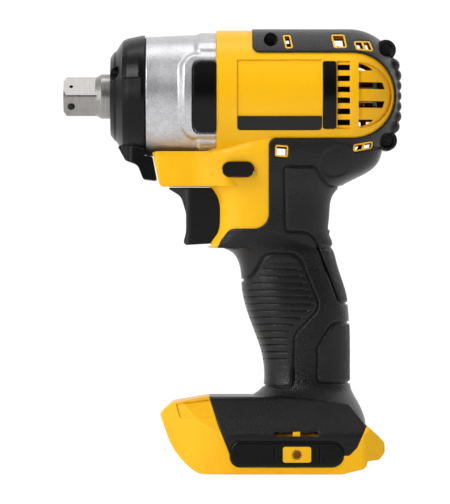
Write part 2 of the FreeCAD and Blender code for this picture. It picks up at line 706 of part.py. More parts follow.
def shell_half(skin, under, region, frames, shared):
    """Left half of the rigid shell with its ribs, seats and openings."""
    base = HEAD_R - SHELL_DROP
    lip = case_lip().common(rod(LIP_X, HEAD_FRONT_X, FLANGE_R + LIP_GAP, base))
    shell = carve(left_of_seam(body_form(SHELL_DROP, False, 0.0)), region.cut(under))
    shell = shell.fuse([skin.common(frames), left_of_seam(lip)])
    shell = shell.cut(left_of_seam(body_form(WALL, True)))
    ribs = left_of_seam(fused(inner_ribs() + screw_bosses())).common(under)
    shell = shell.fuse(ribs)
    sunk = [field.cut(left_of_seam(body_form(SHELL_DROP + VENT_SINK))) for field in vent_fields()]
    badge = prism_y(BADGE, -FAR, 0).cut(left_of_seam(body_form(BADGE_DEPTH)))
    label = label_prism().common(rod(LABEL_X[0], LABEL_X[1], base - LABEL_DEPTH, 60))
    bar = bar_prism().common(rod(BAR_X[0], BAR_X[1], base - BAR_DEPTH, 60))
    side = outside(10)
    openings = fused([window_opening(w) for w in WINDOWS]).common(outside(8))
    shell = carve(
        shell, label.common(side), bar.common(side), openings, battery_slot(), block_window(),
        bumper_prism().common(outside(BUMPER_IN)), strap_slot(), [s.common(side) for s in vent_slots() + sunk],
        badge, screw_sleeves(SLEEVE_R), *shared,
        round_case_screws(HEAD_FRONT_X - 1, EAR_END_X, LUG_EAR_R + EAR_GAP),
        rod(REAR_BEARING_X[0] - 2, REAR_BEARING_X[1], ROTOR_BEARING_R))
    raised = hook_prism().common(box(-FAR, FAR, -BUMPER_OUT, 1 - BUMPER_IN, 0, FAR))
    middle = (STRAP_SLOT[0] + STRAP_SLOT[1]) / 2
    x0, x1 = middle - STRAP_TAB / 2, middle + STRAP_TAB / 2
    tab = box(x0, x1, 1 - FOOT_HALF_W, -STRAP_SLOT_IN, STRAP_SLOT[2], STRAP_SLOT[3])
    shell = shell.fuse([raised, tab])
    hole = cross_rod(HOOK_X, HOOK_Z, HOOK_CLEAR_R, -FAR, 0)
    return shell.cut([cross_rod(HOOK_X, HOOK_Z, INSERT_R, -INSERT_OUT, 0), hole])


def build_housing():
    region = cover_region()
    skin = left_of_seam(body_form(0.0))
    under = left_of_seam(body_form(COVER_T))
    frames = fused([framed(w) for w in WINDOWS])
    shared = [trigger_pocket(), button_hole(), rod(-60, CASE_X[4], SPIGOT_R)]
    left_holes, right_holes = screw_holes()
    for name, maker in (("shell", shell_half), ("cover", cover_half)):
        half = maker(skin, under, region, frames, shared)
        keep("left_" + name, half.cut(left_holes))
        keep("right_" + name, mirrored(half).cut(right_holes))


def foot_bumper():
    """Left bumper: a soft block let into the foot's side, rounded round its outer face."""
    x0, _, z0, z1 = BUMPER
    block = bumper_prism().common(box(-FAR, FAR, -BUMPER_OUT, -BUMPER_IN, -1, FAR))
    outer = [e for e in block.Edges if all(abs(p.y + BUMPER_OUT) < 0.01 for p in e.discretize(3))]
    block = block.makeFillet(BUMPER_SOFT, outer)
    seams = [box(x, x + 0.6, -FAR, 0.5 - BUMPER_OUT, z0 + 2.5, z1 - 2.0) for x in BUMPER_SEAMS]
    return carve(block, hook_prism(), seams)


def build_side_trim():
    base = HEAD_R - SHELL_DROP
    strip = rod(LABEL_X[0], LABEL_X[1], base - LABEL_DEPTH, base - 0.1)
    keep("label_strips", strip.common(label_prism(True, 0.15)).common(outside(10)))
    bars = rod(BAR_X[0], BAR_X[1], base - BAR_DEPTH, HEAD_R).common(bar_prism()).common(outside(10))
    keep("side_bars", bars)
    keep("foot_bumpers", foot_bumper(), mirrored(foot_bumper()))
    ring = cross_rod(HOOK_X, HOOK_Z, INSERT_R, -INSERT_OUT, INSERT_OUT)
    ring = ring.cut(cross_rod(HOOK_X, HOOK_Z, HOOK_BORE_R, -FAR, FAR))
    keep("hook_inserts", ring.common(outside(CHANNEL_HALF_W)))


# ---------------------------------------------------------------- hammer case and nose
def case_rim_prism(inset=0.0):
    corners = [(-22.2, -17.8, 6), (-4.0, -17.8), (-4.0, 17.8), (-22.2, 17.8, 6)]
    return prism_y(lift(corners), -FAR, FAR, inset)


def case_rims():
    """The rim's side outline, pushed out to the left and to the right."""
    prism = case_rim_prism()
    left = prism.common(box(-FAR, FAR, -FAR, -10, 0, 2 * FAR))
    return [left, mirrored(left)]


def case_bumper_prism():
    front, rear = CASE_BUMPER_X
    low, high = CASE_BUMPER_Z
    corners = [(front, low, 3.8), (rear, low, 1), (rear, high, 1), (front, high, 3.8)]
    return prism_y(lift(corners), -FAR, FAR)


def softened(shape, radius, r):
    """Rounds the edges that lie on the cylinder of radius r about the spindle axis."""
    edges = []
    for edge in shape.Edges:
        points = edge.discretize(5)
        if all(abs(math.hypot(p.y, p.z - SPINDLE_Z) - r) < 0.01 for p in points):
            edges.append(edge)
    return shape.makeFillet(radius, edges)


def build_case():
    nose, shoulder, inner, flange, rear = CASE_X
    bush = JOURNAL_R + RUN + BUSH_WALL
    shape = spun([
        (nose, bush), (nose, HUB_R, 1.0), (-43.0, HUB_R, 2), (-39.5, 22.0, 2), (shoulder, 22.0),
        (shoulder, 26.0, 0.8), (-17.0, 26.7, 3), (-14.2, FLANGE_R, 2), (HEAD_FRONT_X, FLANGE_R),
        (HEAD_FRONT_X, SPIGOT_R), (rear, SPIGOT_R), (rear, CASE_BORE_R), (inner, CASE_BORE_R, 2), (inner, bush),
    ])
    rims = [rim.common(rod(-26, HEAD_FRONT_X + 3, 20, RIM_R)) for rim in case_rims()]
    rims = [softened(rim, RIM_SOFT, RIM_R) for rim in rims]
    swell_r, swell_x = SWELL
    swells = round_case_screws(swell_x, HEAD_FRONT_X, swell_r)
    for swell in list(swells):
        middle = swell.BoundBox.Center
        swells.append(Part.makeSphere(swell_r, V(swell_x, middle.y, middle.z)))
    solid_core = rod(inner, rear, CASE_BORE_R)
    shape = shape.fuse([rim.cut(box(HEAD_FRONT_X, FAR, -FAR, FAR, 0, FAR)) for rim in rims] + swells)
    ears = round_case_screws(HEAD_FRONT_X, rear, LUG_EAR_R)
    shape = shape.fuse(ears)
    pads = case_bumper_prism().common(outside(10))
    bed = HEAD_R - 3.0
    shape = carve(
        shape, [pads.common(rod(-30, HEAD_FRONT_X, bed, 60)), solid_core],
        case_lip(0.3).common(rod(-30, HEAD_FRONT_X, FLANGE_R, 60)),
        round_case_screws(-12.0, rear, CASE_SCREW[2]))
    keep("hammer_case", shape)
    keep("case_bumpers", pads.common(rod(-30, HEAD_FRONT_X - 0.15, bed, HEAD_R)))
    head = EAR_END_X - PLATE_FLANGE[1] - 0.6
    heads = round_case_screws(PLATE_FLANGE[1], PLATE_FLANGE[1] + head, 2.1)
    sockets = round_case_screws(PLATE_FLANGE[1] + head - 1.2, PLATE_FLANGE[1] + head, 1.1)
    shanks = round_case_screws(-10.5, PLATE_FLANGE[1], CASE_SCREW[2])
    keep("case_screws", *[top.cut(sockets).fuse(shank) for top, shank in zip(heads, shanks)])
    keep("anvil_bushing", rod(nose + 2.2, inner, JOURNAL_R + RUN, bush))
    keep("nose_seal", rod(nose, nose + 2.2, JOURNAL_R + SEAL_GAP, bush))
    keep("anvil_washer", rod(inner, WING_FRONT_X - 0.1, bush, WING_R - 0.5))


def led_holes(x0, x1, r):
    holes = []
    for angle in LED_ANGLES:
        holes.append(turned(Part.makeCylinder(r, x1 - x0, V(x0, 0, SPINDLE_Z + LED_AT), V(1, 0, 0)), angle))
    return holes


def build_nose():
    nose, shoulder, _, _, _ = CASE_X
    bore = [
        (shoulder, 22.0), (-39.5, 22.0, 2), (-43.0, HUB_R, 2), (nose, HUB_R, 1.0), (nose, JOURNAL_R + 0.5),
    ]
    body = spun([
        (-53.1, JOURNAL_R + 0.5), (-53.1, 17.0, 0.6), (-51.4, 19.4, 0.5), (-50.6, 19.8), (-47.6, 24.4, 0.8),
        (-45.5, 25.3, 1), (-39.5, 26.6, 0.8), (shoulder, 26.6),
    ] + bore)
    rise, half = HOOD
    hood = spun([
        (-49.0, 20.0), (-47.6 - rise / 2, 24.4 + rise / 2, 0.5), (-45.5, 25.3 + rise, 1),
        (-40.5, 26.4 + rise, 0.8), (shoulder - 0.6, 26.6), (shoulder - 0.6, 22.5), (-44.0, 22.5),
    ])
    hood = hood.common(sector(-50.0, shoulder, 18.0, 30.0, half))
    chin = [
        (-45.0, -15.0), (-52.2, -17.6, 1), (-46.6, -27.9, 1.5), (-41.2, -29.9, 4), (-38.8, -36.2, 1.5),
        (-32.9, -36.9, 0.8), (-34.9, -26.4), (shoulder, -26.0), (shoulder, -20.0),
    ]
    plan = both_sides([(-50.0, 10.0, 4), (-44.0, 13.6, 6), (-30.0, 13.6)])
    lip = prism_y(lift(chin), -FAR, FAR).common(prism_z(plan, 0, FAR))
    lip = lip.cut([rod(-60, shoulder, 24.0), rod(shoulder, 0, FLANGE_R - 0.4), chin_form(-0.1)])
    board_x, led_x, lens_x = -46.6, -47.8, -49.2
    board = rod(board_x, board_x + 1.2, HUB_R + 0.7, 22.3)
    pockets = led_holes(-56, led_x, LED_R) + [board]
    pockets += led_holes(led_x - 0.5, board_x, 2.4)
    hoods = [turned(hood, angle) for angle in LED_ANGLES if angle != 180.0]
    keep("nose_boot", body.fuse([lip] + hoods).cut(pockets))
    keep("led_board", board)
    chip = box(led_x, board_x, -1.5, 1.5, SPINDLE_Z + LED_AT - 1.5, SPINDLE_Z + LED_AT + 1.5)
    keep("led_emitters", *[turned(chip, a) for a in LED_ANGLES])
    keep("led_lenses", *led_holes(lens_x, led_x, LED_R))


# ---------------------------------------------------------------- impact mechanism
def sector(x0, x1, r0, r1, half):
    """Ring sector about the spindle axis, centred on +Z, with parallel-ended radial faces."""
    ring = rod(x0, x1, r0, r1)
    reach = 3 * r1
    side = reach * math.sin(math.radians(half))
    top = SPINDLE_Z + reach * math.cos(math.radians(half))
    return ring.common(prism_x([(0, SPINDLE_Z), (side, top), (-side, top)], x0, x1))


def drive_square():
    """Square with its flats at 45 degrees, blunt corners and a bevelled tip."""
    h = SQUARE / 2
    bar = box(TIP_X, SHOULDER_X + 2, -h, h, SPINDLE_Z - h, SPINDLE_Z + h)
    corner = h * math.sqrt(2) - SQUARE_EDGE / 2
    cone = spun([
        (TIP_X, 0), (TIP_X, corner - 1.8), (TIP_X + 1.4, corner), (SHOULDER_X + 2, corner), (SHOULDER_X + 2, 0),
    ])
    return bar.common(cone)


def build_anvil():
    rear = WING_FRONT_X + WING_T
    core = spun([
        (SHOULDER_X, 0), (SHOULDER_X, 8.1), (SHOULDER_X + 2.6, JOURNAL_R), (WING_FRONT_X, JOURNAL_R),
        (rear, JOURNAL_R), (rear, 0),
    ])
    wing = sector(WING_FRONT_X, rear, JOURNAL_R - 2, WING_R, WING_HALF)
    body = core.fuse([drive_square()] + spread(wing, 2, DRIVE_TURN))
    pilot = rod(rear - PILOT_L, rear + 1, PILOT_R + RUN)
    bore = Part.makeCylinder(DETENT_R + 0.05, SQUARE / 2 + 5.0, V(PIN_X, 0, SPINDLE_Z + 3.5), V(0, 0, -1))
    cross = cross_rod(PIN_X, SPINDLE_Z - 0.4, RETAIN_R, -SQUARE, SQUARE)
    body = body.cut([pilot, bore, cross])
    pin_top = SPINDLE_Z + 1.2
    pin = Part.makeCylinder(DETENT_R, 1.2 + SQUARE / 2 + DETENT_OUT - 0.5, V(PIN_X, 0, pin_top), V(0, 0, -1))
    tip = Part.makeCone(DETENT_R, DETENT_R - 0.5, 0.5, V(PIN_X, 0, SPINDLE_Z - SQUARE / 2 - DETENT_OUT + 0.5), V(0, 0, -1))
    slot_w = RETAIN_R + 0.08
    slot = box(PIN_X - slot_w, PIN_X + slot_w, -5, 5, SPINDLE_Z - 0.4 - slot_w - DETENT_TRAVEL, SPINDLE_Z - 0.4 + slot_w)
    pin = pin.fuse(tip).cut(slot)
    retainer = cross_rod(PIN_X, SPINDLE_Z - 0.4, RETAIN_R, -SQUARE / 2 + 1.0, SQUARE / 2 - 1.0)
    spring = coil(V(PIN_X, 0, pin_top), V(0, 0, 1), 1.05, 0.4, 2.3, 3)
    for name, shape in (("anvil", body), ("detent_pin", pin), ("retaining_pin", retainer), ("detent_spring", spring)):
        keep(name, turned(shape, -DRIVE_TURN))


def coil(start, direction, radius, wire, length, turns):
    """Compression spring: a round wire wound about the line from start along direction."""
    span = length - wire
    helix = Part.makeHelix(span / turns, span, radius)
    profile = Part.Wire([Part.makeCircle(wire / 2, V(radius, 0, 0), V(0, 1, 0))])
    solid = Part.Wire(helix.Edges).makePipeShell([profile], True, True)
    solid.translate(V(0, 0, wire / 2))
    solid.Placement = FreeCAD.Placement(start, FreeCAD.Rotation(V(0, 0, 1), direction)).multiply(solid.Placement)
    return solid


def build_hammer():
    front = WING_FRONT_X + WING_T + HAMMER_GAP
    rear = front + HAMMER_L
    r0, r1, depth = SPRING_POCKET
    body = spun([
        (front, CAM_R + RUN), (front, HAMMER_R, 1.2), (rear, HAMMER_R, 1.2), (rear, r1), (rear - depth, r1, 1),
        (rear - depth, r0, 1), (rear, r0), (rear, CAM_R + RUN),
    ])
    lug = sector(WING_FRONT_X + 0.3, front, LUG_R, WING_R + 0.4, LUG_HALF)
    body = body.fuse(spread(lug, 2, 90))
    r = CAM_BALL_R + 0.1
    centre = V(front - 1, 0, SPINDLE_Z + CAM_R + 0.4)
    channel = Part.makeCylinder(r, CAM_BALL_X - front + 1, centre, V(1, 0, 0))
    end = Part.makeSphere(r, V(CAM_BALL_X, 0, SPINDLE_Z + CAM_R + 0.4))
    body = body.cut(spread(channel.fuse(end), 2, 90))
    keep("hammer", body)
    floor = rear - depth
    ball = Part.makeSphere(THRUST_BALL_R, V(floor + THRUST_BALL_R, 0, SPINDLE_Z + SPRING_R))
    keep("thrust_balls", *spread(ball, 24))
    seat = floor + 2 * THRUST_BALL_R
    keep("spring_washer", rod(seat, seat + 1.0, r0 + 0.2, r1 - 0.2))
    length = CARRIER_X[0] - seat - 1.0
    keep("hammer_spring", coil(V(seat + 1.0, 0, SPINDLE_Z), V(1, 0, 0), SPRING_R, SPRING_WIRE, length, 3.0))


def build_camshaft():
    rear_wing = WING_FRONT_X + WING_T
    x0, x1, x2, x3 = CARRIER_X
    hub_r, hub_x = CARRIER_HUB
    centre = (SUN_TEETH + PLANET_TEETH) * MODULE / 2
    shaft = spun([
        (rear_wing - PILOT_L + 0.6, 0), (rear_wing - PILOT_L + 0.6, PILOT_R, 0.6), (rear_wing + 0.6, PILOT_R),
        (rear_wing + 0.6, CAM_R), (x0, CAM_R), (x0, CARRIER_R, 0.8), (x1, CARRIER_R), (x1, 0),
    ])
    rear = rod(x2, x3, SUN_BORE_R, CARRIER_R).fuse(rod(x3, hub_x, SUN_BORE_R, hub_r))
    web = Part.makeCylinder(3.3, x2 - x1 + 2, V(x1 - 1, 0, SPINDLE_Z + 13.4), V(1, 0, 0))
    body = shaft.fuse([rear] + spread(web, PLANETS, 60))
    pin = Part.makeCylinder(PLANET_PIN_R, x3 - x0 - 0.6, V(x0 + 0.6, 0, SPINDLE_Z + centre), V(1, 0, 0))
    pins = spread(pin, PLANETS)
    r = CAM_BALL_R + 0.02
    at = V(CAM_BALL_X, 0, SPINDLE_Z + CAM_R + 0.4)
    grooves = [Part.makeSphere(r, at)]
    for tilt in (-1, 1):
        arm = Part.makeCylinder(r, HAMMER_TRAVEL, at, V(1, 0, 0))
        arm.rotate(at, V(0, 0, 1), tilt * 32)
        grooves.append(arm)
    groove = fused(grooves)
    keep("camshaft", body.cut(pins + spread(groove, 2, 90)))
    keep("planet_pins", *pins)
    keep("cam_balls", *spread(Part.makeSphere(CAM_BALL_R, at), 2, 90))


# ---------------------------------------------------------------- gears
def involute(angle):
    return math.tan(angle) - angle


def gear_outline(teeth, inner, outer, slack):
    """Closed gear outline at x = 0, one tooth centred on +Z; slack thins the teeth at the pitch circle."""
    pitch = MODULE * teeth / 2
    base = pitch * math.cos(PRESSURE)
    half = math.pi / (2 * teeth) - slack / (2 * pitch)

    def half_at(r):
        turn = math.acos(min(1.0, base / r))
        return half + involute(PRESSURE) - involute(turn)

    def at(r, a):
        return V(0, r * math.sin(a), SPINDLE_Z + r * math.cos(a))

    start = max(inner, base)
    radii = [start + (outer - start) * k / 4 for k in range(5)]
    edges = []
    step = 2 * math.pi / teeth
    for i in range(teeth):
        mid = i * step
        for side in (-1, 1):
            curve = Part.BSplineCurve()
            curve.interpolate([at(r, mid + side * half_at(r)) for r in radii])
            edges.append(curve.toShape())
            if inner < base:
                edges.append(Part.LineSegment(at(inner, mid + side * half_at(base)), at(base, mid + side * half_at(base))).toShape())
        tip = half_at(outer)
        edges.append(Part.Arc(at(outer, mid - tip), at(outer, mid), at(outer, mid + tip)).toShape())
        foot = half_at(start)
        edges.append(Part.Arc(at(inner, mid + foot), at(inner, mid + step / 2), at(inner, mid + step - foot)).toShape())
    return Part.Wire(Part.__sortEdges__(edges))


def gear(teeth, x0, x1, inner, outer, slack):
    solid = Part.Face(gear_outline(teeth, inner, outer, slack)).extrude(V(x1 - x0, 0, 0))
    solid.translate(V(x0, 0, 0))
    return solid


def toothed(teeth, x0, x1):
    pitch = MODULE * teeth / 2
    return gear(teeth, x0, x1, pitch - DEDENDUM * MODULE, pitch + ADDENDUM * MODULE, BACKLASH / 2)


def build_gears():
    x0, x1 = GEAR_X
    centre = (SUN_TEETH + PLANET_TEETH) * MODULE / 2
    bore = rod(x0 - 1, x1 + 1, PLANET_PIN_R + RUN)
    planet = toothed(PLANET_TEETH, x0, x1).cut(bore)
    planet.translate(V(0, 0, centre))
    for i, part in enumerate(spread(planet, PLANETS)):
        keep("planet_gear_%d" % (i + 1), part)
    pitch = MODULE * RING_TEETH / 2
    space = gear(RING_TEETH, x0 - 1, CASE_X[4] + 1, pitch - ADDENDUM * MODULE, pitch + DEDENDUM * MODULE, -BACKLASH / 2)
    keep("ring_gear", rod(x0, CASE_X[4], CASE_BORE_R).cut(space))


# ---------------------------------------------------------------- motor
def bearing(x0, x1, inner, outer):
    """Ball bearing: two rings with a groove between their faces and the balls in it."""
    mid, wide = (inner + outer) / 2, (outer - inner)
    rings = [rod(x0, x1, inner, inner + wide * 0.3), rod(x0, x1, outer - wide * 0.3, outer)]
    r = wide * 0.27
    ball = Part.makeSphere(r, V((x0 + x1) / 2, 0, SPINDLE_Z + mid))
    count = int(math.pi * mid / (r * 1.25))
    balls = spread(ball, count)
    race = Part.makeTorus(mid, r, V((x0 + x1) / 2, 0, SPINDLE_Z), V(1, 0, 0))
    return [ring.cut(race) for ring in rings] + balls


def build_gearcase_rear():
    rear = CASE_X[4]
    flange_r, flange_x = PLATE_FLANGE
    cup_r, cup_x = PLATE_CUP
    hub_r, hub_x = PLATE_HUB
    cam_r, cam_x0, cam_x1 = CAM_BEARING
    inside = CARRIER_R + 0.9
    plate = spun([
        (rear, inside), (rear, flange_r), (flange_x, flange_r), (flange_x, cup_r, 1), (cup_x, cup_r, 1.5),
        (cup_x, hub_r, 1), (hub_x, hub_r, 1), (hub_x, 4.4), (cam_x1, 4.4), (cam_x1, cam_r), (cam_x0 - 0.2, cam_r),
        (cam_x0 - 0.2, inside),
    ])
    plate = plate.fuse([ear.cut(rod(0, 20, inside + 1)) for ear in round_case_screws(rear, flange_x, LUG_EAR_R)])
    plate = carve(plate, round_case_screws(0, 20, CASE_SCREW[2]), round_case_screws(flange_x, 20, LUG_EAR_R))
    keep("gear_plate", plate.cut(rod(FRONT_BEARING_X[0], FRONT_BEARING_X[1] + 1, ROTOR_BEARING_R)))
    hub = CARRIER_HUB[0] + RUN
    keep("camshaft_bearing", rod(cam_x0, cam_x1, hub, cam_r))
    keep("motor_front_bearing", *bearing(FRONT_BEARING_X[0], FRONT_BEARING_X[1], ARM_SHAFT_R + RUN, ROTOR_BEARING_R))
    keep("motor_rear_bearing", *bearing(REAR_BEARING_X[0], REAR_BEARING_X[1], ARM_SHAFT_R + RUN, ROTOR_BEARING_R))


def build_stator():
    inner = CAN_R - CAN_T
    keep("motor_can", rod(CAN_X[0], CAN_X[1], inner, CAN_R))
    magnet = sector(STACK_X[0] - 0.6, STACK_X[1] + 0.6, inner - MAGNET_T, inner, 36)
    keep("motor_magnets", *spread(magnet, 4, 45))


def build_rotor():
    x0, x1 = STACK_X
    stack_r = CAN_R - CAN_T - MAGNET_T - AIR_GAP
    sun = toothed(SUN_TEETH, GEAR_X[0] + 0.2, GEAR_X[1] + 1.2)
    shaft = rod(GEAR_X[1] + 1.0, REAR_BEARING_X[1] + 0.3, ARM_SHAFT_R)
    keep("armature_shaft", sun.fuse(shaft))
    slot_r = 1.9
    slot = Part.makeCylinder(slot_r, x1 - x0, V(x0, 0, SPINDLE_Z + 12.2), V(1, 0, 0))
    mouth = box(x0, x1, -0.7, 0.7, SPINDLE_Z + 12.2, SPINDLE_Z + stack_r + 1)
    stack = rod(x0, x1, ARM_SHAFT_R, stack_r).cut(spread(slot.fuse(mouth), SLOTS))
    keep("lamination_stack", stack)
    wire = Part.makeCylinder(slot_r, x1 - x0 + 1, V(x0 - 0.5, 0, SPINDLE_Z + 12.2), V(1, 0, 0))
    ends = [spun([(x0 - 2.9, 7.4, 1.3), (x0 - 2.9, 14.8, 1.3), (x0, 14.8), (x0, 7.4)]), spun([(x1, 7.4), (x1, 14.8), (x1 + 3.2, 14.8, 1.5), (x1 + 3.2, 7.4, 1.5)])]
    windings = ends[0].fuse([ends[1]] + spread(wire, SLOTS))
    keep("armature_windings", windings)
    c0, c1 = COMM_X
    slit = box(c0 + 0.8, c1 + 1, -0.25, 0.25, SPINDLE_Z + COMM_R - 1.0, SPINDLE_Z + COMM_R + 1)
    keep("commutator", rod(c0, c1, ARM_SHAFT_R, COMM_R).cut(spread(slit, SLOTS)))
    f0, f1 = FAN_X
    hub = rod(f0, f1, ARM_SHAFT_R, 5.0)
    disc = rod(f0, f0 + 1.3, ARM_SHAFT_R, FAN_R)
    blade = box(f0 + 1, f1, -0.55, 0.55, SPINDLE_Z + 11.5, SPINDLE_Z + FAN_R + 2)
    blade.rotate(V(0, 0, SPINDLE_Z + 11.5), V(1, 0, 0), 28)
    blades = [b.common(rod(f0, f1, 3.0, FAN_R)) for b in spread(blade, BLADES)]
    keep("cooling_fan", hub.fuse([disc] + blades))


def build_brush_gear():
    bx, bz = BRUSH[0] / 2, BRUSH[1] / 2
    x0, x1 = BRUSH_X - bx, BRUSH_X + bx
    holder = box(x0 - 0.8, CARD_X[0], 10.4, 20.5, SPINDLE_Z - bz - 0.8, SPINDLE_Z + bz + 0.8)
    holder = holder.cut(box(x0, x1, 9.0, 19.9, SPINDLE_Z - bz, SPINDLE_Z + bz))
    brush = box(x0, x1, 8.0, 15.6, SPINDLE_Z - bz, SPINDLE_Z + bz).cut(rod(x0, x1, COMM_R + RUN))
    spring = coil(V(BRUSH_X, 15.6, SPINDLE_Z), V(0, 1, 0), 1.8, 0.5, 4.3, 4)
    for name, shape in (("brush_holders", holder), ("carbon_brushes", brush), ("brush_springs", spring)):
        keep(name, shape, shape.mirror(V(0, 0, 0), V(0, 1, 0)))
    keep("brush_card", rod(CARD_X[0], CARD_X[1], ROTOR_BEARING_R + 2.6, 21.0))


# ---------------------------------------------------------------- controls and wiring
def build_controls():
    w = TRIGGER_HALF_W
    top = SPINDLE_Z + CHIN_BOTTOM - 0.5
    outline_side = [
        (-28.6, top, 0.4), (-22.4, 119.8, 5), (-20.2, 112.5, 9), (-20.2, 104.5, 12), (-21.6, 98.6, 1.5), (-9.6, 99.3), (-5.0, 100.6),
        (TRIGGER_BACK_X, 100.6), (TRIGGER_BACK_X, 120.4), (-7.0, 120.4), (-9.0, top),
    ]
    plan = both_sides([(-30.0, 4.0, 3), (-19.0, w, 8), (TRIGGER_BACK_X + 1, w)])
    body = prism_y(outline_side, -w, w).common(prism_z(plan, 0, FAR))
    hollow = box(-15.0, TRIGGER_BACK_X + 1, -w + 1.8, w - 1.8, 102.6, 118.6)
    spine = box(-16.0, TRIGGER_BACK_X, -3.4, 3.4, 106.0, 115.0)
    mid = (SWITCH_Z[0] + SWITCH_Z[1]) / 2
    plunger_end = SWITCH_X[0] + 1.0
    body = body.cut(hollow).fuse(spine)
    keep("trigger", body)
    plunger = Part.makeCylinder(PLUNGER_R, plunger_end - TRIGGER_BACK_X, V(TRIGGER_BACK_X, 0, mid), V(1, 0, 0))
    keep("switch_plunger", plunger)
    keep("trigger_spring", coil(V(TRIGGER_BACK_X, 0, mid), V(1, 0, 0), 3.6, 0.8, SWITCH_X[0] - TRIGGER_BACK_X, 4))
    switch = box(SWITCH_X[0], SWITCH_X[1], -SWITCH_HALF_W, SWITCH_HALF_W, SWITCH_Z[0], SWITCH_Z[1])
    bore = Part.makeCylinder(PLUNGER_R + RUN, TRIGGER_TRAVEL + 2, V(SWITCH_X[0], 0, mid), V(1, 0, 0))
    post = Part.makeCylinder(LEVER_PIVOT_R, 4.4, V(LEVER_X[1], 0, SWITCH_Z[1]), V(0, 0, 1))
    keep("trigger_switch", switch.cut(bore).fuse(post))

    z = SPINDLE_Z - BUTTON_DROP
    button = stadium_y(BUTTON_X, z, BUTTON_L, BUTTON_H, -BUTTON_HALF_L, BUTTON_HALF_L)
    notch = box(LEVER_X[0] - LEVER_PIN_R - 0.3, BUTTON_X + BUTTON_L, -LEVER_PIN_R - 0.12, LEVER_PIN_R + 0.12, z - BUTTON_H, z + 0.5)
    keep("direction_button", button.cut(notch))
    low = SWITCH_Z[1] + 1.0
    arm = box(LEVER_X[0], LEVER_X[1], -1.8, 1.8, low, low + 2.2)
    hub = Part.makeCylinder(LEVER_PIVOT_R + 1.6, 2.8, V(LEVER_X[1], 0, low - 0.2), V(0, 0, 1))
    tip = Part.makeCylinder(LEVER_PIN_R, z - low, V(LEVER_X[0], 0, low), V(0, 0, 1))
    hole = Part.makeCylinder(LEVER_PIVOT_R + RUN, 6, V(LEVER_X[1], 0, low - 1), V(0, 0, 1))
    keep("reversing_lever", arm.fuse([hub, tip]).cut(hole))


def tube(points, r):
    """Round wire of radius r along a smooth curve through the points."""
    path = Part.BSplineCurve()
    path.interpolate([V(*p) for p in points])
    edge = path.toShape()
    start = edge.tangentAt(edge.FirstParameter)
    profile = Part.Wire([Part.makeCircle(r, V(*points[0]), start)])
    return Part.Wire([edge]).makePipeShell([profile], True, True)


def build_wiring():
    base = CHANNEL_TOP_Z + SLAB_T
    flange = box(BLOCK_X[0] - 2, BLOCK_X[1] + 2, -BLOCK_HALF_W - 2, BLOCK_HALF_W + 2, base, base + 2.5)
    core = box(BLOCK_X[0], BLOCK_X[1], -BLOCK_HALF_W, BLOCK_HALF_W, 4.5, base)
    blades = [box(BLOCK_X[1] - 3, BLOCK_X[1] + BLADE_L, y - 0.4, y + 0.4, 6.0, 12.5) for y in (-10.5, -3.5, 3.5, 10.5)]
    keep("terminal_block", core.fuse(flange).cut(blades))
    keep("battery_terminals", *blades)
    leads, feeds = [], []
    for side in (-1, 1):
        leads.append(tube([(26, 4 * side, SWITCH_Z[0]), (28.5, 4 * side, 82), (31.5, 4 * side, 58), (29.0, 5 * side, 34), (16, 6 * side, 26), (2, 6 * side, base + 2.5)], 1.1))
        rise = SPINDLE_Z - BRUSH[1] / 2 - 0.8
        feeds.append(tube([(29, 4 * side, SWITCH_Z[1]), (36, 5 * side, 132), (50, 6 * side, 135.6), (56, 10 * side, 142), (57, 15.5 * side, 151), (57, 17 * side, rise)], 0.8))
    keep("battery_leads", *[lead.cut([NODES["terminal_block"], NODES["trigger_switch"]]) for lead in leads])
    keep("motor_leads", *[feed.cut([NODES["brush_holders"], NODES["trigger_switch"]]) for feed in feeds])


def build_screws():
    screws = []
    for x, z, seat, _ in HEAD_SCREWS + GRIP_SCREWS:
        shank = cross_rod(x, z, SCREW_R, -seat, seat)
        head = cross_rod(x, z, SCREW_HEAD[0], seat, seat + SCREW_HEAD[1])
        screws.append(shank.fuse(head).cut(cross_rod(x, z, 1.2, seat + SCREW_HEAD[1] - 1.4, FAR)))
    keep("housing_screws", *screws)


def main():
    build_case()
    build_nose()
    build_anvil()
    build_hammer()
    build_camshaft()
    build_gears()
    build_gearcase_rear()
    build_stator()
    build_rotor()
    build_brush_gear()
    build_controls()
    build_wiring()
    build_screws()
    build_side_trim()
    build_housing()
    os.makedirs("parts", exist_ok=True)
    for name, shape in NODES.items():
        shape.exportStep("parts/" + name + ".step")


main()
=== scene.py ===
# %% [markdown]
# # Dressing a cordless impact wrench
# The wrench is already built as an assembly of real pieces. This lesson loads it, gives every
# piece a finish that behaves like the real material, adds the fine moulded detail that is too
# small for the solids, and sets up a plain studio round it. Sizes are metres, except where a
# cell says millimetres.

# %% Load the assembly
import json
import math
import bmesh
import bpy
import numpy as np
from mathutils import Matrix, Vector
from mathutils.bvhtree import BVHTree


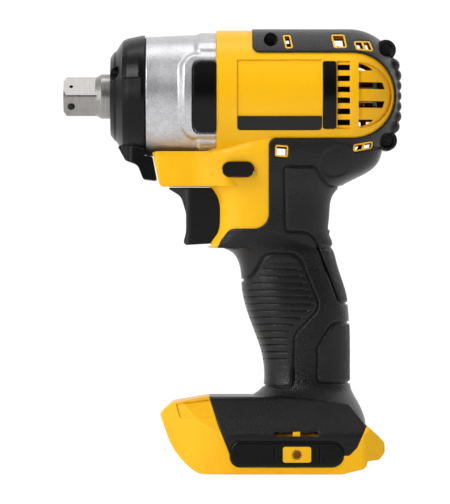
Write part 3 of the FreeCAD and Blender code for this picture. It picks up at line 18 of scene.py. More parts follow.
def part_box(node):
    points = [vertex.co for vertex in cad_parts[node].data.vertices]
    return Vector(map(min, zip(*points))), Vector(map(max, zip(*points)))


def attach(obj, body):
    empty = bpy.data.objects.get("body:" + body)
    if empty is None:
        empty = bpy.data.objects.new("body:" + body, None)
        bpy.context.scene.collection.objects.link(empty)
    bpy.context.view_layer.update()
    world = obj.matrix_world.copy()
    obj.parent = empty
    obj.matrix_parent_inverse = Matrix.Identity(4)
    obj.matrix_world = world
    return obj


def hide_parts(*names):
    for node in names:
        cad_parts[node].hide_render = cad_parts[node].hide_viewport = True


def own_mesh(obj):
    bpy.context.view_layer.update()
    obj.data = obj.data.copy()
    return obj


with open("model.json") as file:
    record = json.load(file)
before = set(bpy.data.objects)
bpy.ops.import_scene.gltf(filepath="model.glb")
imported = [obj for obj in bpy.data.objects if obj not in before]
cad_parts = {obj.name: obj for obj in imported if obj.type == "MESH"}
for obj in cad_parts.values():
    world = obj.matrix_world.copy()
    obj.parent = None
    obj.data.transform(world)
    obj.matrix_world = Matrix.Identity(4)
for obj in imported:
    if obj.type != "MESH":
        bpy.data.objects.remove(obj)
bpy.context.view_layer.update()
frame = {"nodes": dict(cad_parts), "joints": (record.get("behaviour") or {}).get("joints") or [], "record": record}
NODES = frame["nodes"]

# %% [markdown]
# ## What the assembly already knows
# The record says where each joint turns and how far it slides. Values that belong to the solids are
# read from there, so that a new surface sits where its piece is. The sizes of new shapes are
# millimetres, which are easier to read at this scale, and MM turns them to metres in the mesh.

# %% Spindle and travels
MM = 0.001
JOINTS = {joint["name"]: joint for joint in frame["joints"]}
SPINDLE_Z = JOINTS["camshaft_spin"]["pos_m"][2]


def travel(joint):
    """How far a sliding joint goes from rest to its limit, in mm."""
    return JOINTS[joint]["range_m"][1] / MM


print("spindle height:", SPINDLE_Z, "hammer travel:", round(travel("hammer_slide"), 3), "mm")

# %% [markdown]
# ## The view
# The tool is seen square on from its left side through a long lens, so that lines along the
# tool stay parallel. A long lens far away gives nearly the same picture as an orthographic
# camera, and keeps the slight natural perspective of a real one.

# %% Camera
VIEW_HEIGHT = 0.219744     # what the picture's height covers at the tool
VIEW_DISTANCE = 2.4
VIEW_CENTRE_X = -0.00327
VIEW_CENTRE_Z = 0.09566
SENSOR = 36.0              # width of the camera's sensor, in mm
camera_data = bpy.data.cameras.new("studio_camera")
camera_data.sensor_width = SENSOR
camera_data.lens = SENSOR * VIEW_DISTANCE / VIEW_HEIGHT
camera_data.clip_start = 0.05
camera_data.clip_end = 50.0
camera = bpy.data.objects.new("studio_camera", camera_data)
camera.location = (VIEW_CENTRE_X, -VIEW_DISTANCE, VIEW_CENTRE_Z)
camera.rotation_euler = (math.pi / 2, 0.0, 0.0)
bpy.context.scene.collection.objects.link(camera)
bpy.context.scene.camera = camera
print("lens:", round(camera_data.lens), "mm")

# %% [markdown]
# ## Building node trees with little typing
# Every finish below is a small tree of shader nodes. A few helpers make nodes, set their
# values and join their sockets, so that each recipe stays short enough to read.


# %% Node helpers
def node(tree, kind, **settings):
    """Adds a node of this kind and sets its properties."""
    made = tree.nodes.new(kind)
    for key, value in settings.items():
        setattr(made, key, value)
    return made


def feed(tree, socket, value):
    """Joins a socket to another socket, or sets its plain value."""
    if isinstance(value, bpy.types.NodeSocket):
        tree.links.new(value, socket)
    else:
        socket.default_value = value


def maths(tree, operation, *values, clamp=False):
    """One Math node: the operation of its values."""
    made = node(tree, "ShaderNodeMath", operation=operation, use_clamp=clamp)
    for socket, value in zip(made.inputs, values):
        feed(tree, socket, value)
    return made.outputs[0]


def dot(tree, first, second):
    """Dot product of two directions: 1 where they point the same way."""
    made = node(tree, "ShaderNodeVectorMath", operation="DOT_PRODUCT")
    feed(tree, made.inputs[0], first)
    feed(tree, made.inputs[1], second)
    return made.outputs["Value"]


def spread(tree, value, low, high, to_low=0.0, to_high=1.0):
    """Map Range: value from low..high to to_low..to_high, held at the ends."""
    made = node(tree, "ShaderNodeMapRange", clamp=True)
    for socket, number in zip(made.inputs, (value, low, high, to_low, to_high)):
        feed(tree, socket, number)
    return made.outputs[0]


def noise(tree, vector, scale, detail=3.0, rough=0.55, warp=0.0):
    """Noise texture on a vector; gives its grey value."""
    made = node(tree, "ShaderNodeTexNoise")
    feed(tree, made.inputs["Vector"], vector)
    feed(tree, made.inputs["Scale"], scale)
    made.inputs["Detail"].default_value = detail
    made.inputs["Roughness"].default_value = rough
    made.inputs["Distortion"].default_value = warp
    return made.outputs["Fac"]


def cells(tree, vector, scale, feature="F1"):
    """Voronoi texture on a vector; gives the distance to the nearest point, or to the cell's edge."""
    made = node(tree, "ShaderNodeTexVoronoi", feature=feature)
    feed(tree, made.inputs["Vector"], vector)
    feed(tree, made.inputs["Scale"], scale)
    return made.outputs["Distance"]


def stretched(tree, vector, scale):
    """The vector with each axis multiplied by its own number."""
    made = node(tree, "ShaderNodeMapping")
    feed(tree, made.inputs["Vector"], vector)
    made.inputs["Scale"].default_value = scale
    return made.outputs[0]


def blended(tree, share, first, second):
    """Mix of two colours; share 0 gives the first."""
    made = node(tree, "ShaderNodeMix", data_type="RGBA")
    feed(tree, made.inputs[0], share)
    feed(tree, made.inputs[6], first)
    feed(tree, made.inputs[7], second)
    return made.outputs[2]


def colour(red, green, blue):
    """A colour written as it looks on screen, 0 to 255, turned to linear light."""
    def linear(part):
        part = part / 255.0
        return part / 12.92 if part <= 0.04045 else ((part + 0.055) / 1.055) ** 2.4
    return (linear(red), linear(green), linear(blue), 1.0)


print("helpers ready; mid grey is", round(colour(128, 128, 128)[0], 3))

# %% [markdown]
# ## Effects that several finishes share
# Grain, worn edges that are also a painted highlight on the dark rubbers, dust and tool marks turn up in
# many finishes. Each is one node group with named inputs, built once. The groups give only masks, heights
# and shades; the shader stays in the material itself, so that each finish can still be exported.


# %% Start a shared effect
def effect(name, inputs, outputs):
    """Starts a node group. inputs are (name, kind, value); outputs are names of grey values."""
    tree = bpy.data.node_groups.new(name, "ShaderNodeTree")
    for label, kind, value in inputs:
        made = tree.interface.new_socket(name=label, in_out="INPUT", socket_type="NodeSocket" + kind)
        if value is not None:
            made.default_value = value
    for label in outputs:
        tree.interface.new_socket(name=label, in_out="OUTPUT", socket_type="NodeSocketFloat")
    return tree, node(tree, "NodeGroupInput"), node(tree, "NodeGroupOutput")


# %% Moulded grain
def make_moulded_grain():
    """Spark-eroded mould grain: fine noise mixed with shallow round pits, and a slow drift of shade."""
    tree, given, result = effect(
        "moulded_grain",
        [("Vector", "Vector", None), ("Grain Scale", "Float", 2500.0), ("Pits", "Float", 0.4)],
        ["Height", "Shade"],
    )
    vector, scale, pits = given.outputs[0], given.outputs[1], given.outputs[2]
    fine = noise(tree, vector, scale, 2.0, 0.6)
    pit = maths(tree, "MULTIPLY", cells(tree, vector, maths(tree, "MULTIPLY", scale, 0.8)), 1.2, clamp=True)
    share = node(tree, "ShaderNodeMix")
    feed(tree, share.inputs[0], pits)
    feed(tree, share.inputs[2], fine)
    feed(tree, share.inputs[3], pit)
    drift = noise(tree, vector, maths(tree, "MULTIPLY", scale, 0.016), 4.0, 0.6, 0.4)
    feed(tree, result.inputs[0], share.outputs[0])
    feed(tree, result.inputs[1], spread(tree, drift, 0.3, 0.7))
    return tree


MOULDED_GRAIN = make_moulded_grain()
print("shared effect:", MOULDED_GRAIN.name)


# %% Worn edges
def make_edge_rub_and_highlight():
    """Pale edges, from rubbing and, on the black rubbers, as a painted highlight: the surface normal against a
    rounded copy of it, broken up by noise.
    """
    tree, given, result = effect(
        "edge_rub_and_highlight",
        [("Vector", "Vector", None), ("Radius", "Float", 0.0006),
         ("Patch Scale", "Float", 180.0), ("Amount", "Float", 1.0)],
        ["Mask"],
    )
    softened = node(tree, "ShaderNodeBevel", samples=6)
    feed(tree, softened.inputs["Radius"], given.outputs[1])
    facing = node(tree, "ShaderNodeNewGeometry")
    same = dot(tree, softened.outputs[0], facing.outputs["Normal"])
    edge = spread(tree, same, 0.985, 0.86, 0.0, 1.0)
    patch = spread(tree, noise(tree, given.outputs[0], given.outputs[2], 4.0, 0.7), 0.38, 0.66)
    mask = maths(tree, "MULTIPLY", maths(tree, "MULTIPLY", edge, patch), given.outputs[3], clamp=True)
    feed(tree, result.inputs[0], mask)
    return tree


EDGE_RUB_AND_HIGHLIGHT = make_edge_rub_and_highlight()
print("shared effect:", EDGE_RUB_AND_HIGHLIGHT.name)


# %% Settled dust
def make_settled_dust():
    """Fine dust lies where a surface looks up, thicker in patches."""
    tree, given, result = effect(
        "settled_dust",
        [("Vector", "Vector", None), ("Patch Scale", "Float", 60.0), ("Amount", "Float", 0.2)],
        ["Mask"],
    )
    parts = node(tree, "ShaderNodeSeparateXYZ")
    feed(tree, parts.inputs[0], node(tree, "ShaderNodeNewGeometry").outputs["Normal"])
    upward = spread(tree, parts.outputs[2], -0.1, 1.0)
    patch = spread(tree, noise(tree, given.outputs[0], given.outputs[1], 6.0, 0.7), 0.35, 0.7)
    speck = spread(tree, noise(tree, given.outputs[0], 3200.0, 1.0), 0.45, 0.65, 0.4, 1.0)
    mask = maths(tree, "MULTIPLY", maths(tree, "MULTIPLY", upward, patch), speck)
    feed(tree, result.inputs[0], maths(tree, "MULTIPLY", mask, given.outputs[2], clamp=True))
    return tree


SETTLED_DUST = make_settled_dust()
print("shared effect:", SETTLED_DUST.name)


# %% Tool marks
def make_tool_marks():
    """Lines left by grinding or turning: noise on a vector that the caller has stretched."""
    tree, given, result = effect(
        "tool_marks",
        [("Vector", "Vector", None), ("Scale", "Float", 1.0), ("Contrast", "Float", 1.0)],
        ["Height", "Shade"],
    )
    lines = noise(tree, given.outputs[0], given.outputs[1], 3.0, 0.7)
    broad = noise(tree, given.outputs[0], maths(tree, "MULTIPLY", given.outputs[1], 0.17), 2.0, 0.5)
    both = maths(tree, "ADD", maths(tree, "MULTIPLY", lines, 0.6), maths(tree, "MULTIPLY", broad, 0.4))
    feed(tree, result.inputs[0], lines)
    shade = maths(tree, "MULTIPLY", spread(tree, both, 0.3, 0.7), given.outputs[2], clamp=True)
    feed(tree, result.inputs[1], shade)
    return tree


TOOL_MARKS = make_tool_marks()
print("shared effect:", TOOL_MARKS.name)

# %% [markdown]
# ## Finishes
# A finish starts as a Principled shader with its constant values set on its own sockets.
# The recipe then feeds colour, roughness and bump from the shared effects.


# %% Start a finish
FINISHES = {}


class Finish:
    """A material with a Principled shader, the piece's own coordinates and short calls."""

    def __init__(self, name, **constants):
        material = bpy.data.materials.new(name)
        material.use_nodes = True
        FINISHES[name] = material
        self.tree = material.node_tree
        self.shader = self.tree.nodes["Principled BSDF"]
        self.place = node(self.tree, "ShaderNodeTexCoord").outputs["Object"]
        for label, value in constants.items():
            self.shader.inputs[label.replace("_", " ")].default_value = value

    def use(self, group, **values):
        """Places a shared effect and feeds its inputs; gives its node."""
        made = node(self.tree, "ShaderNodeGroup", node_tree=group)
        feed(self.tree, made.inputs["Vector"], values.pop("vector", self.place))
        for label, value in values.items():
            feed(self.tree, made.inputs[label.replace("_", " ")], value)
        return made

    def base(self, value):
        """Feeds the base colour."""
        feed(self.tree, self.shader.inputs["Base Color"], value)

    def rough(self, value, low, high):
        """Roughness runs between two values as the grey value does from 0 to 1."""
        feed(self.tree, self.shader.inputs["Roughness"], spread(self.tree, value, 0.0, 1.0, low, high))

    def softened(self, radius):
        """Normal of the surface with its sharp edges rounded by this radius."""
        made = node(self.tree, "ShaderNodeBevel", samples=6)
        made.inputs["Radius"].default_value = radius
        return made.outputs[0]

    def bump(self, height, distance, under=None):
        """Bump of this height in metres; under is another normal that it adds to."""
        made = node(self.tree, "ShaderNodeBump")
        made.inputs["Distance"].default_value = distance
        feed(self.tree, made.inputs["Height"], height)
        if under is not None:
            feed(self.tree, made.inputs["Normal"], under)
        feed(self.tree, self.shader.inputs["Normal"], made.outputs[0])


print("ready for finishes")


# %% [markdown]
# ### Moulded plastics and rubbers
# Housings are glass-filled nylon with a satin mould grain; the grip cover and bumpers are a
# soft elastomer moulded over them. Both are one recipe: two close shades that drift, a fine
# grain in the bump, lighter edges, rubbed and on the black rubbers also a painted highlight, and a
# breath of dust on top. The bump lies on a normal that is rounded at the edges, because a mould never leaves a
# knife edge.


# %% Moulded finishes
DUST = colour(172, 166, 156)


def moulded(name, deep, pale, rub_and_highlight, rough, grain, depth,
            rub_and_highlight_share=0.5, dust=0.1, pits=0.4, soften=0.0, **constants):
    """Two drifting shades, grain bump, pale edges (rubbed, and on the black rubbers a painted highlight) and dust;
    soften is the radius given to sharp edges.
    """
    made = Finish(name, **constants)
    skin = made.use(MOULDED_GRAIN, Grain_Scale=grain, Pits=pits)
    edge = made.use(EDGE_RUB_AND_HIGHLIGHT, Amount=rub_and_highlight_share)
    film = made.use(SETTLED_DUST, Amount=dust)
    body = blended(made.tree, skin.outputs["Shade"], deep, pale)
    edges_rub_and_highlight = blended(made.tree, edge.outputs[0], body, rub_and_highlight)
    made.base(blended(made.tree, film.outputs[0], edges_rub_and_highlight, DUST))
    grain_part = maths(made.tree, "MULTIPLY", skin.outputs["Height"], 0.6)
    dust_part = maths(made.tree, "MULTIPLY", film.outputs[0], 1.2)
    made.rough(maths(made.tree, "ADD", grain_part, dust_part, clamp=True), *rough)
    made.bump(skin.outputs["Height"], depth, under=made.softened(soften) if soften else None)


moulded("yellow_shell", deep=colour(251, 185, 2), pale=colour(254, 193, 8), rub_and_highlight=colour(255, 208, 76),
        rough=(0.30, 0.46), grain=2000.0, depth=0.00004, rub_and_highlight_share=0.4, dust=0.02, soften=0.0006,
        Specular_IOR_Level=0.28)
# The pale edge colours of the black finishes below are painted highlight along edges and groove rims, as well as
# wear.
moulded("soft_cover", deep=colour(3, 3, 4), pale=colour(5, 5, 6), rub_and_highlight=colour(58, 58, 60),
        rough=(0.26, 0.40), grain=1900.0, depth=0.0002, rub_and_highlight_share=0.6, dust=0.006, pits=0.6, soften=0.0014,
        Specular_IOR_Level=0.36)
moulded("field_rubber", deep=colour(4, 4, 5), pale=colour(8, 8, 9), rub_and_highlight=colour(58, 58, 60),
        rough=(0.26, 0.40), grain=2600.0, depth=0.0001, rub_and_highlight_share=0.5, dust=0.006, pits=0.6,
        Specular_IOR_Level=0.38)
moulded("bumper_rubber", deep=colour(2, 2, 3), pale=colour(4, 4, 5), rub_and_highlight=colour(40, 40, 42),
        rough=(0.22, 0.34), grain=2400.0, depth=0.00005, rub_and_highlight_share=0.5, dust=0.004, soften=0.0008,
        Specular_IOR_Level=0.22)
moulded("black_plastic", deep=colour(3, 3, 4), pale=colour(7, 7, 8), rub_and_highlight=colour(52, 52, 54),
        rough=(0.26, 0.38), grain=2200.0, depth=0.00005, rub_and_highlight_share=0.5, dust=0.004, soften=0.0006,
        Specular_IOR_Level=0.34)
moulded("nylon", deep=colour(34, 34, 36), pale=colour(46, 46, 48), rub_and_highlight=colour(84, 84, 86),
        rough=(0.42, 0.6), grain=2000.0, depth=0.00003, rub_and_highlight_share=0.4, dust=0.15)
moulded("carbon", deep=colour(38, 38, 40), pale=colour(58, 58, 62), rub_and_highlight=colour(90, 90, 94),
        rough=(0.5, 0.72), grain=5200.0, depth=0.00004, rub_and_highlight_share=0.5, dust=0.1, pits=0.7)
moulded("magnet", deep=colour(62, 62, 66), pale=colour(84, 84, 88), rub_and_highlight=colour(124, 124, 128),
        rough=(0.44, 0.62), grain=3400.0, depth=0.00003, rub_and_highlight_share=0.7, dust=0.1, pits=0.2)
print("moulded finishes:", sorted(FINISHES))

# %% [markdown]
# ### Metals
# A metal is mostly its reflections, so its recipe is about roughness and bump: lines along the
# grinding direction, a sandy cast skin, or rings from turning. Metallic stays a plain number.


# %% Metal finishes
OIL = colour(92, 78, 60)


def metal(name, deep, pale, rub_and_highlight, rough, lines, depth, stains, **constants):
    """Two shades along tool marks, brightened edges and faint oil stains; lines stretches the marks."""
    made = Finish(name, Metallic=1.0, **constants)
    marks = made.use(TOOL_MARKS, vector=stretched(made.tree, made.place, lines))
    edge = made.use(EDGE_RUB_AND_HIGHLIGHT, Amount=0.6, Radius=0.0004)
    body = blended(made.tree, marks.outputs["Shade"], deep, pale)
    stain = spread(made.tree, noise(made.tree, made.place, 90.0, 5.0, 0.7), 0.5, 0.75, 0.0, stains)
    body = blended(made.tree, stain, body, OIL)
    made.base(blended(made.tree, edge.outputs[0], body, rub_and_highlight))
    shade_part = maths(made.tree, "MULTIPLY", marks.outputs["Shade"], 0.7)
    made.rough(maths(made.tree, "ADD", shade_part, stain, clamp=True), *rough)
    made.bump(marks.outputs["Height"], depth)


metal("drive_steel", deep=colour(136, 133, 130), pale=colour(170, 168, 166), rub_and_highlight=colour(222, 222, 222),
      rough=(0.26, 0.42), lines=(9000.0, 500.0, 500.0), depth=0.00001, stains=0.12)
metal("steel", deep=colour(150, 150, 152), pale=colour(190, 190, 192), rub_and_highlight=colour(222, 222, 224),
      rough=(0.26, 0.44), lines=(3000.0, 1800.0, 1800.0), depth=0.00001, stains=0.2)
metal("spring_steel", deep=colour(96, 96, 100), pale=colour(132, 132, 136), rub_and_highlight=colour(180, 180, 184),
      rough=(0.3, 0.46), lines=(5000.0, 5000.0, 5000.0), depth=0.00001, stains=0.3)
# A steel darker than the pieces have: it paints the shade in screw sockets, in pin holes and inside the housing.
metal("painted_shade_steel", deep=colour(30, 30, 32), pale=colour(52, 52, 55), rub_and_highlight=colour(120, 120, 124),
      rough=(0.34, 0.52), lines=(4000.0, 2400.0, 2400.0), depth=0.00001, stains=0.1)
metal("sintered_bronze", deep=colour(158, 120, 66), pale=colour(192, 150, 90), rub_and_highlight=colour(216, 180, 120),
      rough=(0.42, 0.6), lines=(4200.0, 4200.0, 4200.0), depth=0.00003, stains=0.35)
metal("brass", deep=colour(190, 150, 78), pale=colour(222, 184, 112), rub_and_highlight=colour(240, 214, 150),
      rough=(0.22, 0.38), lines=(600.0, 600.0, 6000.0), depth=0.00001, stains=0.15)
metal("copper", deep=colour(170, 84, 44), pale=colour(206, 116, 70), rub_and_highlight=colour(230, 150, 104),
      rough=(0.24, 0.4), lines=(500.0, 7000.0, 7000.0), depth=0.00004, stains=0.1, Coat_Weight=0.4)
print("metal finishes:", sorted(FINISHES))


# %% [markdown]
# ### The cast hammer case
# The case is die-cast aluminium, tumbled after casting: a bright grey skin with sandy
# speckle, slightly uneven, a little smoother where hands and fixtures rub it. Fine cells give
# the speckle, a slower noise the clouds, and the same two drive the roughness.


# %% Cast case finish
def cast_finish():
    """Sandy speckle and slow clouds in colour, roughness and bump."""
    made = Finish("cast_case", Metallic=0.85, Specular_IOR_Level=0.5)
    tree = made.tree
    sand = noise(tree, made.place, 2600.0, 2.0, 0.75)
    speck = cells(tree, made.place, 2100.0)
    cloud = noise(tree, made.place, 130.0, 5.0, 0.65, 0.5)
    grey = blended(tree, spread(tree, cloud, 0.3, 0.7), colour(184, 184, 186), colour(214, 214, 216))
    dark = spread(tree, sand, 0.36, 0.5, 0.55, 0.0)
    grey = blended(tree, dark, grey, colour(118, 118, 121))
    pale = spread(tree, speck, 0.12, 0.34, 0.5, 0.0)
    grey = blended(tree, pale, grey, colour(232, 232, 234))
    edge = made.use(EDGE_RUB_AND_HIGHLIGHT, Amount=0.5, Radius=0.0008)
    made.base(blended(tree, edge.outputs[0], grey, colour(240, 240, 240)))
    both = maths(tree, "ADD", maths(tree, "MULTIPLY", sand, 0.6), maths(tree, "MULTIPLY", cloud, 0.4))
    made.rough(both, 0.2, 0.44)
    made.bump(maths(tree, "SUBTRACT", sand, maths(tree, "MULTIPLY", speck, 0.5)), 0.00007)


cast_finish()
print("cast finish ready")


# %% [markdown]
# ### Small finishes inside
# Behind the vents and windows there are a circuit board, wires, a felt seal, a lens and the
# light's emitters. Each keeps the one thing that makes it readable: traces, sheath gloss,
# fibres, clearness or phosphor dots.


# %% Small finishes
def board_finish():
    """Green board with copper traces: thin bands of a stretched cell pattern."""
    made = Finish("board", Coat_Weight=0.3, Coat_Roughness=0.2)
    tree = made.tree
    lines = cells(tree, stretched(tree, made.place, (420.0, 420.0, 420.0)), 1.0, "DISTANCE_TO_EDGE")
    trace = spread(tree, lines, 0.05, 0.09, 1.0, 0.0)
    weave = noise(tree, made.place, 4200.0, 2.0)
    green = blended(tree, spread(tree, weave, 0.3, 0.7), colour(12, 66, 42), colour(20, 88, 56))
    made.base(blended(tree, trace, green, colour(66, 140, 84)))
    made.rough(weave, 0.3, 0.5)
    made.bump(trace, 0.00003)


def wire_finish():
    """Red wire sheath: glossy, slightly wavy, with faint pale scuffs."""
    made = Finish("wire_red", Coat_Weight=0.2)
    tree = made.tree
    wave = noise(tree, made.place, 700.0, 3.0)
    scuff = spread(tree, noise(tree, made.place, 1600.0, 4.0, 0.7), 0.6, 0.74)
    red = blended(tree, wave, colour(150, 14, 12), colour(188, 26, 20))
    made.base(blended(tree, maths(tree, "MULTIPLY", scuff, 0.4), red, colour(222, 120, 110)))
    made.rough(wave, 0.22, 0.42)
    made.bump(wave, 0.00004)


def felt_finish():
    """Grey felt: tangled fibres from warped stretched noise."""
    made = Finish("felt", Sheen_Weight=0.4)
    tree = made.tree
    fibre = noise(tree, stretched(tree, made.place, (1400.0, 5200.0, 5200.0)), 1.0, 5.0, 0.75, 1.6)
    made.base(blended(tree, spread(tree, fibre, 0.3, 0.7), colour(60, 57, 53), colour(122, 116, 108)))
    made.rough(fibre, 0.8, 1.0)
    made.bump(fibre, 0.0002)


def lens_finish():
    """Clear moulded lens with a slightly rippled skin."""
    made = Finish("lens", Transmission_Weight=0.9, IOR=1.5)
    tree = made.tree
    ripple = noise(tree, made.place, 900.0, 2.0)
    made.base(blended(tree, ripple, colour(232, 238, 242), colour(250, 252, 253)))
    made.rough(ripple, 0.04, 0.16)
    made.bump(ripple, 0.00003)


def led_finish():
    """Yellow phosphor with grainy crystals under a clear cap."""
    made = Finish("led", Coat_Weight=0.8)
    tree = made.tree
    grain = cells(tree, made.place, 5200.0)
    made.base(blended(tree, spread(tree, grain, 0.1, 0.5), colour(246, 226, 120), colour(214, 176, 60)))
    made.rough(grain, 0.2, 0.5)
    made.bump(grain, 0.00003)


for recipe in (board_finish, wire_finish, felt_finish, lens_finish, led_finish):
    recipe()
print("finishes:", len(FINISHES))


# %% [markdown]
# ### Laminations, windings and commutator
# The rotor's pieces show through the vents. The stack is pressed from thin sheets, so it has
# fine lines across its length; the windings are strands along the slots; the commutator is
# copper bars with dark mica between. These bands follow the object's own axes.


# %% Rotor finishes
SHEET_PITCH = 0.0005
BARS = 24


def stack_finish():
    """Sheets seen edge on: the sawtooth of x over the pitch is dark where two sheets meet."""
    made = Finish("sheet_stack", Metallic=1.0)
    tree = made.tree
    parts = node(tree, "ShaderNodeSeparateXYZ")
    feed(tree, parts.inputs[0], made.place)
    step = maths(tree, "FRACT", maths(tree, "DIVIDE", parts.outputs[0], SHEET_PITCH))
    gap = spread(tree, step, 0.18, 0.3, 1.0, 0.0)
    fleck = noise(tree, made.place, 1500.0, 4.0, 0.7)
    pale = colour(128, 128, 134)
    deep = tuple(0.8 * part for part in pale[:3]) + (1.0,)
    body = blended(tree, spread(tree, fleck, 0.35, 0.65), pale, deep)
    made.base(blended(tree, gap, body, colour(58, 58, 62)))
    both = maths(tree, "ADD", maths(tree, "MULTIPLY", fleck, 0.6), maths(tree, "MULTIPLY", gap, 0.4))
    made.rough(both, 0.34, 0.6)
    made.bump(maths(tree, "SUBTRACT", maths(tree, "MULTIPLY", fleck, 0.3), gap), 0.00005)


def commutator_finish():
    """Bars round the axis: the angle about the spindle is split evenly, with a dark gap at each step."""
    made = Finish("commutator_copper", Metallic=1.0)
    tree = made.tree
    parts = node(tree, "ShaderNodeSeparateXYZ")
    feed(tree, parts.inputs[0], made.place)
    height = maths(tree, "SUBTRACT", parts.outputs[2], SPINDLE_Z)
    turn = maths(tree, "ARCTAN2", height, parts.outputs[1])
    bar = maths(tree, "MULTIPLY", maths(tree, "ADD", turn, math.pi), BARS / math.tau)
    gap = spread(tree, maths(tree, "FRACT", bar), 0.1, 0.16, 1.0, 0.0)
    polish = noise(tree, stretched(tree, made.place, (6000.0, 300.0, 300.0)), 1.0, 3.0)
    body = blended(tree, polish, colour(176, 92, 50), colour(222, 138, 92))
    made.base(blended(tree, gap, body, colour(46, 38, 32)))
    made.rough(maths(tree, "MAXIMUM", polish, gap), 0.18, 0.5)
    made.bump(maths(tree, "SUBTRACT", 0.0, gap), 0.0001)


stack_finish()
commutator_finish()
print("rotor finishes ready; all finishes:", len(FINISHES))

# %% [markdown]
# ## Giving each piece its finish
# The assembly's record names a finish slot for each piece. A few pieces get a finish of their
# own, and the darker steel among them is painted shade; everything else follows the record.

# %% Finish every piece
SPECIAL = {
    "lamination_stack": "sheet_stack",
    "commutator": "commutator_copper",
    # Darker steel as painted shade: for the pins the shade of their holes, for the motor can its dull plating
    # darkened further by the shade inside the housing.
    "detent_pin": "painted_shade_steel",
    "retaining_pin": "painted_shade_steel",
    "motor_can": "painted_shade_steel",
}
SLOT_OF = {row["node"]: row["material_slot"] for row in frame["record"]["subparts"]}


def paint(piece, finish):
    """Puts one finish in the first material slot of the piece's mesh."""
    slots = piece.data.materials
    slots.clear()
    slots.append(FINISHES[finish])


for name, piece in NODES.items():
    paint(piece, SPECIAL.get(name, SLOT_OF[name]))
print("painted:", len(NODES))

# %% [markdown]
# ## The cast hammer case
# On the real tool the case is a casting: its screw bosses and the raised rim round each side
# pad melt into the body with soft fillets. A solid with many blends is slow to build, but as a
# radius that depends on the place along the axis and on the angle round it, every blend is
# only a smooth step. The closed profile keeps the real bore, so the case still has its wall.

# %% Smooth steps and outlines
def smooth(value, low, high):
    """0 below low, 1 above high, and 3t^2 - 2t^3 between."""
    t = np.clip((value - low) / (high - low), 0.0, 1.0)
    return t * t * (3.0 - 2.0 * t)


def box_distance(u, w, centre, half, corner):
    """Signed distance to a box with rounded corners: how far a point lies past a box that is
    smaller by the corner radius, less that radius."""
    du = np.abs(u - centre[0]) - half[0] + corner
    dw = np.abs(w - centre[1]) - half[1] + corner
    outside = np.hypot(np.maximum(du, 0.0), np.maximum(dw, 0.0))
    return outside + np.minimum(np.maximum(du, dw), 0.0) - corner


print("a smooth step halfway:", float(smooth(np.array(0.5), 0.0, 1.0)))


# %% Meshes from grids of points
def quads_of(rows, columns, wrap_rows=False, wrap_columns=False):
    """Corner numbers of the quads between neighbours in a grid, joined round where asked."""
    u = np.arange(rows if wrap_rows else rows - 1)[:, None]
    v = np.arange(columns if wrap_columns else columns - 1)[None, :]
    u2, v2 = (u + 1) % rows, (v + 1) % columns
    corners = [u * columns + v, u2 * columns + v, u2 * columns + v2, u * columns + v2]
    return np.stack(corners, axis=-1).reshape(-1, 4)


def mesh_of(name, points, faces, flat=False):
    """A mesh of points, of any shape that ends in x, y, z, and of faces given as corner numbers."""
    mesh = bpy.data.meshes.new(name)
    mesh.from_pydata(points.reshape(-1, 3).tolist(), [], faces)
    if not flat:
        mesh.shade_smooth()
    return mesh


def add_piece(name, mesh, finish, body="housing"):
    """Links the mesh as a piece, paints it and lets it ride on its body."""
    piece = bpy.data.objects.new(name, mesh)
    bpy.context.scene.collection.objects.link(piece)
    paint(piece, finish)
    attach(piece, body)
    return piece


print("quads of a closed 3 by 4 grid:", len(quads_of(3, 4, True, True)))

# %% Sizes of the case
CASE_FRONT_X, CASE_BACK_X, CASE_R = -38.1, -7.05, 26.0
FRONT_ROUNDING, ROUNDED_TO = 0.7, -37.3
TAPER, TAPER_RUN = 0.7, (-38.0, -17.0)                 # growth of the radius, and where along x
BAND, BAND_RUN = 1.0, (-16.6, -13.6)
BORE_RUN = [                                           # (x, r) back through the bore
    (-7.05, 25.9), (9.0, 25.9), (9.0, 22.6), (-35.4, 22.6),
    (-36.7, 22.0), (-37.2, 20.8), (-37.2, 12.4), (-51.5, 12.4),
]
NOSE_RUN = [                                           # (x, r) over the nose
    (-51.5, 14.7), (-51.2, 15.3), (-50.5, 15.5), (-44.4, 15.5),
    (-42.6, 16.0), (-40.4, 20.8), (-39.6, 22.0), (-38.1, 22.0),
]
SIDE_FADE = (11.0, 14.0)                               # distance from the middle plane
RIM_CENTRE, RIM_HALF, RIM_CORNER, RIM_R, RIM_BLEND = (-10.0, -0.4), (12.2, 18.0), 7.0, 28.3, 1.6
BED_CENTRE, BED_HALF, BED_CORNER, BED_DEPTH, BED_EDGE = (-10.0, -0.85), (7.6, 15.85), 4.2, 1.3, 0.5
BOSS_ANGLES, BOSS_R, BOSS_START = (50.6, 129.4, -50.6, -129.4), 28.1, (-17.4, -13.6)
BOSS_FOOT, BOSS_TOP = 9.5, 3.5                         # degrees to each side of its middle
LIP_R, LIP_START, LIP_DROP = 27.7, (-14.6, -13.4), (20.6, 21.6)
PROFILE_STEPS, TURN_STEPS = 110, 480
print("case radius:", CASE_R, "to", CASE_R + TAPER + BAND, "mm")


